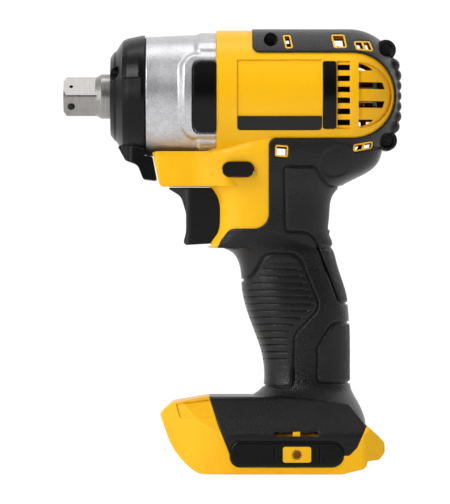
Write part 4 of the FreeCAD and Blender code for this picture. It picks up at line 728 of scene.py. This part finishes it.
# %% The case as a radius over place and angle
def raised(x, y, z, r, angle):
    """How far the case stands out past its plain radius: the rim round each pad, the four bosses,
    the flat lip under it and the bed that the pad lies in, each faded by smooth steps."""
    side = smooth(np.abs(y), *SIDE_FADE)
    rim = smooth(-box_distance(x, z, RIM_CENTRE, RIM_HALF, RIM_CORNER), -RIM_BLEND, RIM_BLEND) * side
    bed = smooth(-box_distance(x, z, BED_CENTRE, BED_HALF, BED_CORNER), 0.0, BED_EDGE) * side
    lift = np.maximum(RIM_R - r, 0.0) * rim
    for centre in BOSS_ANGLES:
        away = np.abs((np.degrees(angle) - centre + 180.0) % 360.0 - 180.0)
        boss = smooth(-away, -BOSS_FOOT, -BOSS_TOP) * smooth(x, *BOSS_START)
        lift = np.maximum(lift, np.maximum(BOSS_R - r, 0.0) * boss)
    under = smooth(x, *LIP_START) * smooth(-z, *LIP_DROP)
    lift -= (r + lift - np.minimum(r + lift, LIP_R)) * under
    return lift - BED_DEPTH * bed


def case_points():
    """Closed wall profile (x, r) turned round the axis: (x, r cos t, r sin t). Its outer run gets
    the rims, bosses and pad beds added to r; the runs through the bore and the nose stay plain."""
    outer_x = np.linspace(CASE_FRONT_X, CASE_BACK_X, PROFILE_STEPS)
    outer_r = CASE_R + TAPER * smooth(outer_x, *TAPER_RUN) + BAND * smooth(outer_x, *BAND_RUN)
    outer_r -= FRONT_ROUNDING * (1.0 - smooth(outer_x, CASE_FRONT_X, ROUNDED_TO))
    rest_x, rest_r = np.array(BORE_RUN + NOSE_RUN).T
    turn = np.linspace(0.0, math.tau, TURN_STEPS, endpoint=False)
    x, angle = np.meshgrid(np.concatenate([outer_x, rest_x]), turn, indexing="ij")
    r = np.repeat(np.concatenate([outer_r, rest_r])[:, None], len(turn), axis=1)
    outer = slice(0, len(outer_x))
    y, z = r * np.cos(angle), r * np.sin(angle)
    r[outer] += raised(x, y, z, r, angle)[outer]
    points = np.stack([x, r * np.cos(angle), r * np.sin(angle)], axis=-1) * MM
    return points + np.array([0.0, 0.0, SPINDLE_Z])


case = case_points()
case_quads = quads_of(*case.shape[:2], wrap_rows=True, wrap_columns=True)
case_skin = add_piece("case_casting", mesh_of("case_casting", case, case_quads.tolist()), "cast_case")
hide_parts("hammer_case")
print("case casting:", len(case_skin.data.polygons), "faces")

# %% [markdown]
# ## The grip fields
# Three raised fields on each side of the grip carry its feel: finger ribs in front, and two
# pebbled fields for the palm and thumb. The solids have the grooves round them. Here each field
# gets its own skin. A displacement of the solid's own mesh would need very many faces, and the
# solids stay as they are, so the grip is measured instead: a radius round its leaning middle line,
# at every height and angle, with the grooves bridged over. A field is that radius plus a relief.

# %% Rounded outlines and their distance
def rounded(corners, steps=6):
    """Outline points of (x, z, radius) corners; each corner becomes an arc tangent to both sides."""
    flat = np.array([corner[:2] for corner in corners], dtype=float)
    points = []
    for i, here in enumerate(flat):
        radius = corners[i][2] if len(corners[i]) > 2 else 0.0
        back, on = flat[i - 1] - here, flat[(i + 1) % len(flat)] - here
        back, on = back / np.linalg.norm(back), on / np.linalg.norm(on)
        half = math.acos(np.clip(back @ on, -1.0, 1.0)) / 2
        share = np.linspace(0.0, 1.0, steps)[:, None]
        start, end = here + back * radius / math.tan(half), here + on * radius / math.tan(half)
        middle = (back + on) / np.linalg.norm(back + on)
        centre = here + middle * radius / math.sin(half)
        spokes = (start - centre) * (1.0 - share) + (end - centre) * share
        lengths = np.linalg.norm(spokes, axis=1, keepdims=True)
        points.append(centre + spokes / np.maximum(lengths, 1e-9) * radius if radius else here[None, :])
    return np.concatenate(points)


def outline_distance(x, z, outline):
    """Distance to the closed outline, negative inside: the nearest segment gives the distance, and
    the even-odd rule gives the side."""
    best = np.full(x.shape, 1e9)
    inside = np.zeros(x.shape, dtype=bool)
    for (x0, z0), (x1, z1) in zip(outline, np.roll(outline, -1, axis=0)):
        along_x, along_z = x1 - x0, z1 - z0
        t = ((x - x0) * along_x + (z - z0) * along_z) / max(along_x ** 2 + along_z ** 2, 1e-12)
        t = np.clip(t, 0.0, 1.0)
        best = np.minimum(best, np.hypot(x - x0 - t * along_x, z - z0 - t * along_z))
        if abs(along_z) > 1e-12:
            crosses = ((z0 > z) != (z1 > z)) & (x < x0 + (z - z0) * along_x / along_z)
            inside ^= crosses
    return np.where(inside, -best, best)


print("outline helpers ready")

# %% Outlines of the fields
FINGER_FIELD = rounded([
    (-20.0, 83.5), (7.0, 83.8, 8), (14.0, 95.4, 5), (29.0, 95.6, 7), (38.5, 71.8, 6), (27.2, 59.5, 6),
    (26.8, 36.6, 3), (-20.0, 38.2),
])
THUMB_FIELD = rounded([
    (21.5, 133.2, 2.6), (36.2, 133.2, 3), (40.5, 124.6, 5), (60.0, 124.6), (60.0, 72.8),
    (46.0, 72.8, 3.5), (34.2, 103.8, 6.5), (22.3, 103.8, 2.6),
])
PALM_FIELD = rounded([(60.0, 65.6), (43.0, 65.6, 5), (36.0, 55.0, 5), (36.0, 38.4, 3), (60.0, 38.4)])
FIELDS = (FINGER_FIELD, THUMB_FIELD, PALM_FIELD)
GROOVE = 1.15              # width of the solids' groove, which a skin's edge keeps clear of
RIB_PITCH, FIRST_RIB, RIBS = 3.0, 49.25, 14


def from_rib(z):
    """Height above the nearest of the grooves between the finger ribs."""
    step = np.clip(np.round((z - FIRST_RIB) / RIB_PITCH), 0, RIBS - 1)
    return z - FIRST_RIB - step * RIB_PITCH


print("outline points:", [len(outline) for outline in FIELDS])

# %% Middle line of the grip
MIDDLE_LINE = (
    (33.3, 30.7), (52.0, 31.9), (62.0, 30.2), (72.0, 28.1), (80.0, 26.5), (88.5, 24.7),
    (96.0, 21.5), (103.0, 19.0), (110.0, 18.2), (121.0, 19.0), (129.0, 21.2), (134.0, 24.3),
)
MIDDLE_Z, MIDDLE_X = np.array(MIDDLE_LINE).T


def on_grip(z, angle, radius):
    """The x and y of a point at this height, radius and angle round the middle line, in mm:
    x = middle - r cos t, y = -r sin t. The angle is 0 forwards and 90 degrees on the left side."""
    x = np.interp(z, MIDDLE_Z, MIDDLE_X) - radius * np.cos(angle)
    return x, -radius * np.sin(angle)


print("the grip leans by", round(float(np.ptp(MIDDLE_X)), 1), "mm")

# %% Measure the grip
GRIP_LOW, GRIP_HIGH, ROW_STEP = 36.5, 135.0, 0.5
FIRST_TURN, LAST_TURN, TURN_STEP = 2.5, 178.0, 0.75    # degrees
RAY_START = 0.06                                       # metres from the middle line
CLEAR = 0.1                                            # kept from a groove's edges
CLEAR_OF_RIB = 0.4


def measured_grip():
    """Radius of the cover at each height and angle. Rays go in towards the middle line; where they
    fall in a groove the value is taken from the rows above and below."""
    tree = BVHTree.FromObject(NODES["left_cover"], bpy.context.evaluated_depsgraph_get())
    rows = np.arange(GRIP_LOW, GRIP_HIGH, ROW_STEP)
    turns = np.radians(np.arange(FIRST_TURN, LAST_TURN, TURN_STEP))
    radius = np.full((len(rows), len(turns)), np.nan)
    for i, z in enumerate(rows):
        middle = float(np.interp(z, MIDDLE_Z, MIDDLE_X))
        for j, turn in enumerate(turns):
            outward = Vector((-math.cos(turn), -math.sin(turn), 0.0))
            start = Vector((middle, 0.0, z)) * MM + outward * RAY_START
            hit = tree.ray_cast(start, -outward, RAY_START)[0]
            if hit is not None:
                radius[i, j] = (RAY_START - (hit - start).length) / MM
    z, turn = np.meshgrid(rows, turns, indexing="ij")
    x = on_grip(z, turn, np.nan_to_num(radius))[0]
    good = np.isfinite(radius)
    good &= (np.abs(from_rib(z)) > CLEAR_OF_RIB) | (outline_distance(x, z, FINGER_FIELD) > CLEAR)
    for outline in FIELDS:
        away = outline_distance(x, z, outline)
        good &= (away < -GROOVE - CLEAR) | (away > CLEAR)
    for j in range(len(turns)):
        known = good[:, j]
        if known.sum() > 3:
            radius[:, j] = np.interp(rows, rows[known], radius[known, j])
    return rows, turns, radius


GRIP_ROWS, GRIP_TURNS, GRIP_RADIUS = measured_grip()
print("grip radius:", np.round([np.nanmin(GRIP_RADIUS), np.nanmax(GRIP_RADIUS)], 1), "mm")


# %% Tables and pebbles
def bilinear(rows, columns, table, u, v):
    """Value of a table between its rows and columns: the weighted mean of the four values around."""
    i = np.clip(np.searchsorted(rows, u) - 1, 0, len(rows) - 2)
    j = np.clip(np.searchsorted(columns, v) - 1, 0, len(columns) - 2)
    s = np.clip((u - rows[i]) / (rows[i + 1] - rows[i]), 0.0, 1.0)
    t = np.clip((v - columns[j]) / (columns[j + 1] - columns[j]), 0.0, 1.0)
    low = table[i, j] * (1.0 - t) + table[i, j + 1] * t
    high = table[i + 1, j] * (1.0 - t) + table[i + 1, j + 1] * t
    return low * (1.0 - s) + high * s


LATTICE = 256


def pebbles(along, up, size, seed):
    """Pebbled height, 0 to 1: random values on a lattice of this size, blended between with smooth steps."""
    table = np.random.default_rng(seed).random((LATTICE, LATTICE))
    u, v = along / size, up / size
    i, j = np.floor(u).astype(int), np.floor(v).astype(int)
    s, t = smooth(u - i, 0.0, 1.0), smooth(v - j, 0.0, 1.0)
    i, j, i2, j2 = i % LATTICE, j % LATTICE, (i + 1) % LATTICE, (j + 1) % LATTICE
    low = table[i, j] * (1 - s) + table[i2, j] * s
    high = table[i, j2] * (1 - s) + table[i2, j2] * s
    return low * (1 - t) + high * t


print("pebble height at the corner:", round(float(pebbles(np.zeros(1), np.zeros(1), 1.0, 5)[0]), 3))

# %% Reliefs of the fields
RIB_PROUD, RIB_SWELL, RIB_GRAIN, RIB_GRAIN_SIZE = 0.18, 0.05, 0.035, 0.45
GROOVE_DEPTH, GROOVE_SPREAD, GROOVE_START = 0.45, 0.2, (3.0, 3.5)
PIT_DEPTH, PIT_SPREAD, PIT_PLACE, PIT_FADE = 0.3, 0.4, 2.2, (15.0, 18.0)
PEBBLE_PROUD, PEBBLE_RISE, STIPPLE_PITCH = 0.17, 0.15, 0.95
SHAKE, SHAKE_SIZE = 5.0, 1.1
STIPPLE = 2.0 * math.pi / STIPPLE_PITCH


def ribbed(x, z, along, inside):
    """Finger ribs: a round-bottomed groove every pitch, exp(-(d / spread)^2) of the distance d to
    it, each ending in a small pit, with a slight swell between grooves and fine pebbles over all."""
    off = from_rib(z)
    held = smooth(inside, *GROOVE_START)
    groove = np.exp(-(off / GROOVE_SPREAD) ** 2) * held
    to_pit = ((inside - PIT_PLACE) / PIT_SPREAD) ** 2 + (off / PIT_SPREAD) ** 2
    pit = np.exp(-to_pit) * smooth(x, *PIT_FADE)
    swell = RIB_SWELL * np.cos(math.pi * off / RIB_PITCH) ** 2 * held
    grain = RIB_GRAIN * pebbles(along, z, RIB_GRAIN_SIZE, 3)
    return RIB_PROUD - GROOVE_DEPTH * groove - PIT_DEPTH * pit - swell + grain


def pebbled(x, z, along, inside):
    """Thumb and palm fields: a lattice of small bumps, product of two sines, with the lattice shaken."""
    rough = np.sin(along * STIPPLE + SHAKE * pebbles(along, z, SHAKE_SIZE, 5))
    rough = rough * np.sin(z * STIPPLE + SHAKE * pebbles(along, z, SHAKE_SIZE, 9))
    return PEBBLE_PROUD + PEBBLE_RISE * rough


print("ribs:", RIBS, "stipple pitch:", STIPPLE_PITCH, "mm")

# %% Lay the fields on the grip
GRIP_R = 20.0              # mean radius, turns an angle into a length round the grip
SKIN_TURN = 0.0085         # step of the skins' grid round the grip, in radians
EDGE_ROLL, EDGE_DROP, EDGE_SLACK = 0.9, 0.06, 0.02
SEAM_HALF = 0.5            # a skin keeps this far from the middle plane


def field_skin(name, outline, relief, heights, turns, step, side):
    """Skin of one field: measured radius plus relief, rolled down at the groove, on one side of the
    grip. Only the grid's quads that lie inside the outline are kept."""
    z, turn = np.meshgrid(np.arange(*heights, step), np.arange(*turns, SKIN_TURN), indexing="ij")
    radius = bilinear(GRIP_ROWS, GRIP_TURNS, GRIP_RADIUS, z, turn)
    x, y = on_grip(z, turn, radius)
    inside = np.minimum(-outline_distance(x, z, outline) - GROOVE, np.abs(y) - SEAM_HALF)
    edge = smooth(inside, 0.0, EDGE_ROLL)
    height = relief(x, z, turn * GRIP_R, inside + GROOVE) * edge - EDGE_DROP * (1.0 - edge)
    x, y = on_grip(z, turn, radius + height)
    points = np.stack([x, y * side, z], axis=-1) * MM
    if side > 0:
        points, inside = points[:, ::-1], inside[:, ::-1]
    keep = inside.reshape(-1) > -EDGE_SLACK
    faces = quads_of(*inside.shape)
    faces = faces[keep[faces].all(axis=1)]
    used, corners = np.unique(faces, return_inverse=True)
    return mesh_of(name, points.reshape(-1, 3)[used], corners.reshape(-1, 4).tolist())


GRIP_SKINS = (             # name, outline, relief, run in z, run round the grip, step in z
    ("finger_field_", FINGER_FIELD, ribbed, (38.0, 96.0), (0.02, 2.5), 0.15),
    ("thumb_field_", THUMB_FIELD, pebbled, (73.0, 133.4), (1.2, 3.12), 0.17),
    ("palm_field_", PALM_FIELD, pebbled, (39.0, 66.0), (1.5, 3.12), 0.17),
)
for side, word in ((1, "left"), (-1, "right")):
    for label, *shape in GRIP_SKINS:
        skin = field_skin(label + word, *shape, side)
        add_piece(label + word, skin, "field_rubber")
        print(label + word, len(skin.polygons), "faces")

# %% [markdown]
# ## The springs
# Three springs are squeezed between moving pieces: the big one behind the hammer, the one
# behind the trigger and the small one behind the detent pin. A solid spring stays stiff when its
# joint moves; here each is made again as a surface that rides on its moving piece. A curve with a round
# bevel would do as well; a computed helix has closed ends and takes its length straight from the solid.


# %% Springs as surfaces
WIRE_CORNERS, COIL_STEPS = 16, 48      # corners round the wire, rings in one turn


def closed_tubes(name, tubes, flat=False):
    """One mesh of several tubes. Each is a grid of rings by corners, in mm, with quads between
    neighbours and a flat face across each end."""
    points, faces, start = [], [], 0
    for rings in tubes:
        count, corners = rings.shape[:2]
        ring = np.arange(corners)
        ends = [ring + start, ring + start + (count - 1) * corners]
        faces += (quads_of(count, corners, wrap_columns=True) + start).tolist()
        faces += [end.tolist() for end in ends]
        points.append(rings.reshape(-1, 3))
        start += count * corners
    mesh = mesh_of(name, np.concatenate(points) * MM, faces, flat)
    form = bmesh.new()
    form.from_mesh(mesh)
    bmesh.ops.recalc_face_normals(form, faces=form.faces)
    form.to_mesh(mesh)
    form.free()
    return mesh


def spring_mesh(name, start, along, radius, wire, length, turns):
    """Compression spring: a circle of the wire's radius carried along the helix
    start + along * (wire / 2 + climb * t) + radius * (a cos t + b sin t), closed at both ends."""
    start, along = np.array(start), np.array(along) / np.linalg.norm(along)
    a = np.cross(along, (0.0, 1.0, 0.0) if abs(along[0]) > 0.9 else (1.0, 0.0, 0.0))
    b = np.cross(along, a)
    t = np.linspace(0.0, math.tau * turns, COIL_STEPS * turns + 1)[:, None]
    climb = (length - wire) / (math.tau * turns)
    out = a * np.cos(t) + b * np.sin(t)
    centre = start + along * (wire / 2.0 + climb * t) + radius * out
    s = (np.arange(WIRE_CORNERS) * math.tau / WIRE_CORNERS)[None, :, None]
    points = centre[:, None, :] + wire / 2.0 * (out[:, None, :] * np.cos(s) + along * np.sin(s))
    return closed_tubes(name, [points])


def squeezed(name, node_name, body, along, ends, coil):
    """Puts a spring in the place of its solid, from one end to the other, riding on the body.
    The coil is (mean radius, wire, turns)."""
    radius, wire, turns = coil
    length = math.dist(*ends)
    mesh = spring_mesh(name, ends[0], along, radius, wire, length, turns)
    piece = add_piece(name, mesh, "spring_steel", body)
    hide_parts(node_name)
    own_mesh(piece)


# %% The three springs
HAMMER_COIL = (14.1, 2.8, 3)           # mean radius and wire in mm, and turns
TRIGGER_COIL = (3.6, 0.8, 4)
DETENT_COIL = (1.05, 0.4, 3)
low, high = np.array(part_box("hammer_spring")) / MM
ends = ((low[0], 0.0, SPINDLE_Z / MM), (high[0], 0.0, SPINDLE_Z / MM))
squeezed("hammer_coil", "hammer_spring", "camshaft", (1, 0, 0), ends, HAMMER_COIL)
low, high = np.array(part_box("trigger_spring")) / MM
level = (low[2] + high[2]) / 2.0
ends = ((low[0], 0.0, level), (high[0], 0.0, level))
squeezed("trigger_coil", "trigger_spring", "trigger", (1, 0, 0), ends, TRIGGER_COIL)
DETENT_X = -70.2                       # where the detent pin lies along the square, in mm
PIN_END, BORE_FLOOR = 1.2, 3.5         # distance of the spring's ends from the spindle's axis, in mm
SLANT = math.sqrt(0.5)                 # the pin leans 45 degrees, square to a flat of the drive
ends = [(DETENT_X, d * SLANT, SPINDLE_Z / MM + d * SLANT) for d in (PIN_END, BORE_FLOOR)]
squeezed("detent_coil", "detent_spring", "anvil", (0, SLANT, SLANT), ends, DETENT_COIL)

# %% [markdown]
# ### Walls behind the inserts
# The threaded inserts of the belt hook end in the moulding: a thin wall closes each bore on
# the side of the battery channel, so that no light falls through. The shell's own mesh stays as
# it is, so a closed disc stands for that wall: two circles (r cos t, y, r sin t) and the band
# between them.


# %% Walls behind the inserts
MOUNTS = {mount["name"]: mount for mount in frame["record"]["mounts"]}
INSERT_X, INSERT_Z = np.array(MOUNTS["hook_thread_left"]["pos_m"])[[0, 2]] / MM
WALL_R, WALL_OUTSIDE, WALL_INSIDE = 2.4, 27.97, 27.7
CIRCLE = np.arange(48) * math.tau / 48


def circle_ring(x, y, z, radius):
    """Points of a circle across Y: (x + r cos t, y, z + r sin t), where r may change with t."""
    level = np.full(len(CIRCLE), y)
    return np.stack([x + radius * np.cos(CIRCLE), level, z + radius * np.sin(CIRCLE)], axis=1)


for side, word in ((-1, "left"), (1, "right")):
    faces_at = (WALL_OUTSIDE, WALL_INSIDE)
    disc = np.stack([circle_ring(INSERT_X, side * y, INSERT_Z, WALL_R) for y in faces_at])
    wall = closed_tubes("insert_wall_" + word, [disc], flat=True)
    add_piece("insert_wall_" + word, wall, "yellow_shell")
print("walls behind the inserts: 2")

# %% [markdown]
# ### Screw sockets
# The housing screws have a six-lobed socket. It could be cut from the heads with a Boolean, but
# the solids stay as they are, so a thin plug fills the round bore of each head and carries the
# socket: its wall is r = 0.97 + 0.16 cos 6t mm, and the plug's dark steel paints the shade in the socket.

# %% Screw sockets
SCREWS = (                 # x and z of each screw, and the y of its head's top, in mm
    (16.5, 187.6, 9.7), (66.5, 183.4, 8.2), (67.0, 144.1, 8.2),
    (36.0, 108.0, 10.7), (21.5, 44.0, 10.7), (-17.5, 13.0, 20.2), (45.0, 23.5, 20.2),
)
LOBES = 0.97 + 0.16 * np.cos(6.0 * CIRCLE)
PLUG_R = 1.19
PLUG = ((1.38, PLUG_R), (0.03, PLUG_R), (0.03, LOBES), (1.2, LOBES))    # depth under the top, radius
sockets = []
for x, z, top in SCREWS:
    sockets.append(np.stack([circle_ring(x, top - depth, z, radius) for depth, radius in PLUG]))
# The plugs' dark steel is painted shade inside the sockets.
add_piece("screw_sockets", closed_tubes("screw_sockets", sockets, flat=True), "painted_shade_steel")
print("screw sockets:", len(sockets))

# %% [markdown]
# ## The studio
# A pale sweep under and behind the tool, a large soft key light from the upper left, a lower one
# beside the camera, a strip above and weak lights at the left, the right and the back. Together
# they come to about the level at which a colour shows as it is written. The sweep shows white to
# the camera and in gloss and glass, but still takes the shadow. Its back side is clear, so that a
# camera behind it sees the tool too.


# %% Floor
def sweep_mesh(half=3.0, front=-3.2, back=0.9, radius=0.5, top=2.6):
    """A flat floor that curves up into a wall: a quarter circle of this radius joins y and z runs."""
    turn = np.linspace(0.0, math.pi / 2, 17)
    ys = np.concatenate([[front], back + radius * np.sin(turn), [back + radius]])
    zs = np.concatenate([[0.0], radius * (1.0 - np.cos(turn)), [top]])
    xs = np.repeat([-half, half], len(ys))
    points = np.stack([xs, np.tile(ys, 2), np.tile(zs, 2)], axis=1)
    return mesh_of("studio_floor", points, quads_of(2, len(ys)).tolist())


PAPER_DEEP, PAPER_PALE = colour(238, 238, 238), colour(244, 244, 244)
PAPER_GLOW = 1.08
GLOW_SHARE = 0.9


def mixed_shaders(tree, share, first, second):
    """Mix of two shaders; share 0 gives the first."""
    made = node(tree, "ShaderNodeMixShader")
    for socket, value in zip(made.inputs, (share, first, second)):
        feed(tree, socket, value)
    return made.outputs[0]


def floor_finish():
    """White matt paper; the camera, glass and gloss see it a little lifted, so that it reads white."""
    material = bpy.data.materials.new("studio_paper")
    material.use_nodes = True
    tree = material.node_tree
    shader = tree.nodes["Principled BSDF"]
    fibre = noise(tree, node(tree, "ShaderNodeTexCoord").outputs["Object"], 300.0, 3.0)
    feed(tree, shader.inputs["Base Color"], blended(tree, fibre, PAPER_DEEP, PAPER_PALE))
    shader.inputs["Roughness"].default_value = 0.9
    shader.inputs["Specular IOR Level"].default_value = 0.1
    path = node(tree, "ShaderNodeLightPath")
    seen = maths(tree, "MAXIMUM", path.outputs["Is Camera Ray"], path.outputs["Is Transmission Ray"])
    seen = maths(tree, "MAXIMUM", seen, path.outputs["Is Glossy Ray"])
    glow = node(tree, "ShaderNodeEmission")
    glow.inputs["Strength"].default_value = PAPER_GLOW
    lifted = maths(tree, "MULTIPLY", seen, GLOW_SHARE)
    paper = mixed_shaders(tree, lifted, shader.outputs[0], glow.outputs[0])
    behind = node(tree, "ShaderNodeNewGeometry").outputs["Backfacing"]
    clear = node(tree, "ShaderNodeBsdfTransparent").outputs[0]
    paper = mixed_shaders(tree, behind, paper, clear)
    feed(tree, tree.nodes["Material Output"].inputs["Surface"], paper)
    return material


floor = bpy.data.objects.new("studio_floor", sweep_mesh())
bpy.context.scene.collection.objects.link(floor)
floor.data.materials.append(floor_finish())
print("floor vertices:", len(floor.data.vertices))


# %% Lights
MIDDLE = (0.0, 0.0, 0.1)
LAMPS = (                  # name, place, width, height, watts
    ("key_light", (-0.75, -0.75, 1.05), 0.45, 0.35, 8.0),
    ("front_light", (-0.85, -1.1, 0.42), 0.22, 0.5, 4.2),
    ("fill_light", (1.3, -0.5, 0.25), 0.2, 0.9, 1.0),
    ("top_light", (0.0, 0.12, 1.25), 1.2, 0.35, 3.4),
    ("left_light", (-1.2, -0.45, 0.25), 0.22, 0.9, 2.2),
    ("rear_light", (0.9, 0.7, 0.7), 0.6, 0.9, 1.6),
)


def soft_light(name, place, width, height, watts):
    """A rectangular lamp at a place, turned to face the tool's middle."""
    data = bpy.data.lights.new(name, "AREA")
    data.shape = "RECTANGLE"
    data.size = width
    data.size_y = height
    data.energy = watts
    lamp = bpy.data.objects.new(name, data)
    lamp.location = place
    away = np.array(place) - np.array(MIDDLE)
    pitch = math.acos(away[2] / np.linalg.norm(away))
    lamp.rotation_euler = (pitch, 0.0, math.atan2(away[0], -away[1]))
    bpy.context.scene.collection.objects.link(lamp)


for lamp in LAMPS:
    soft_light(*lamp)
print("lights:", len(bpy.data.lights))


# %% World
ROOM_FRONT, ROOM_BACK, ROOM_TOP = 0.08, 0.4, 0.25


def studio_world():
    """Soft room light: brighter above and behind than in front."""
    world = bpy.data.worlds.new("studio_world")
    bpy.context.scene.world = world
    world.use_nodes = True
    tree = world.node_tree
    tree.nodes.clear()
    parts = node(tree, "ShaderNodeSeparateXYZ")
    feed(tree, parts.inputs[0], node(tree, "ShaderNodeTexCoord").outputs["Generated"])
    ahead = spread(tree, parts.outputs[1], -0.9, 0.1, ROOM_FRONT, ROOM_BACK)
    above = spread(tree, parts.outputs[2], 0.0, 0.9, 0.0, ROOM_TOP)
    sky = node(tree, "ShaderNodeBackground")
    sky.inputs["Color"].default_value = (1.0, 1.0, 1.0, 1.0)
    feed(tree, sky.inputs["Strength"], maths(tree, "ADD", ahead, above))
    feed(tree, node(tree, "ShaderNodeOutputWorld").inputs["Surface"], sky.outputs[0])


studio_world()
bpy.context.scene.view_settings.view_transform = "Standard"
print("world ready")

# %% [markdown]
# ## Finishing
# The visual model must stay as large as the solids.

# %% Finish
bpy.context.view_layer.update()
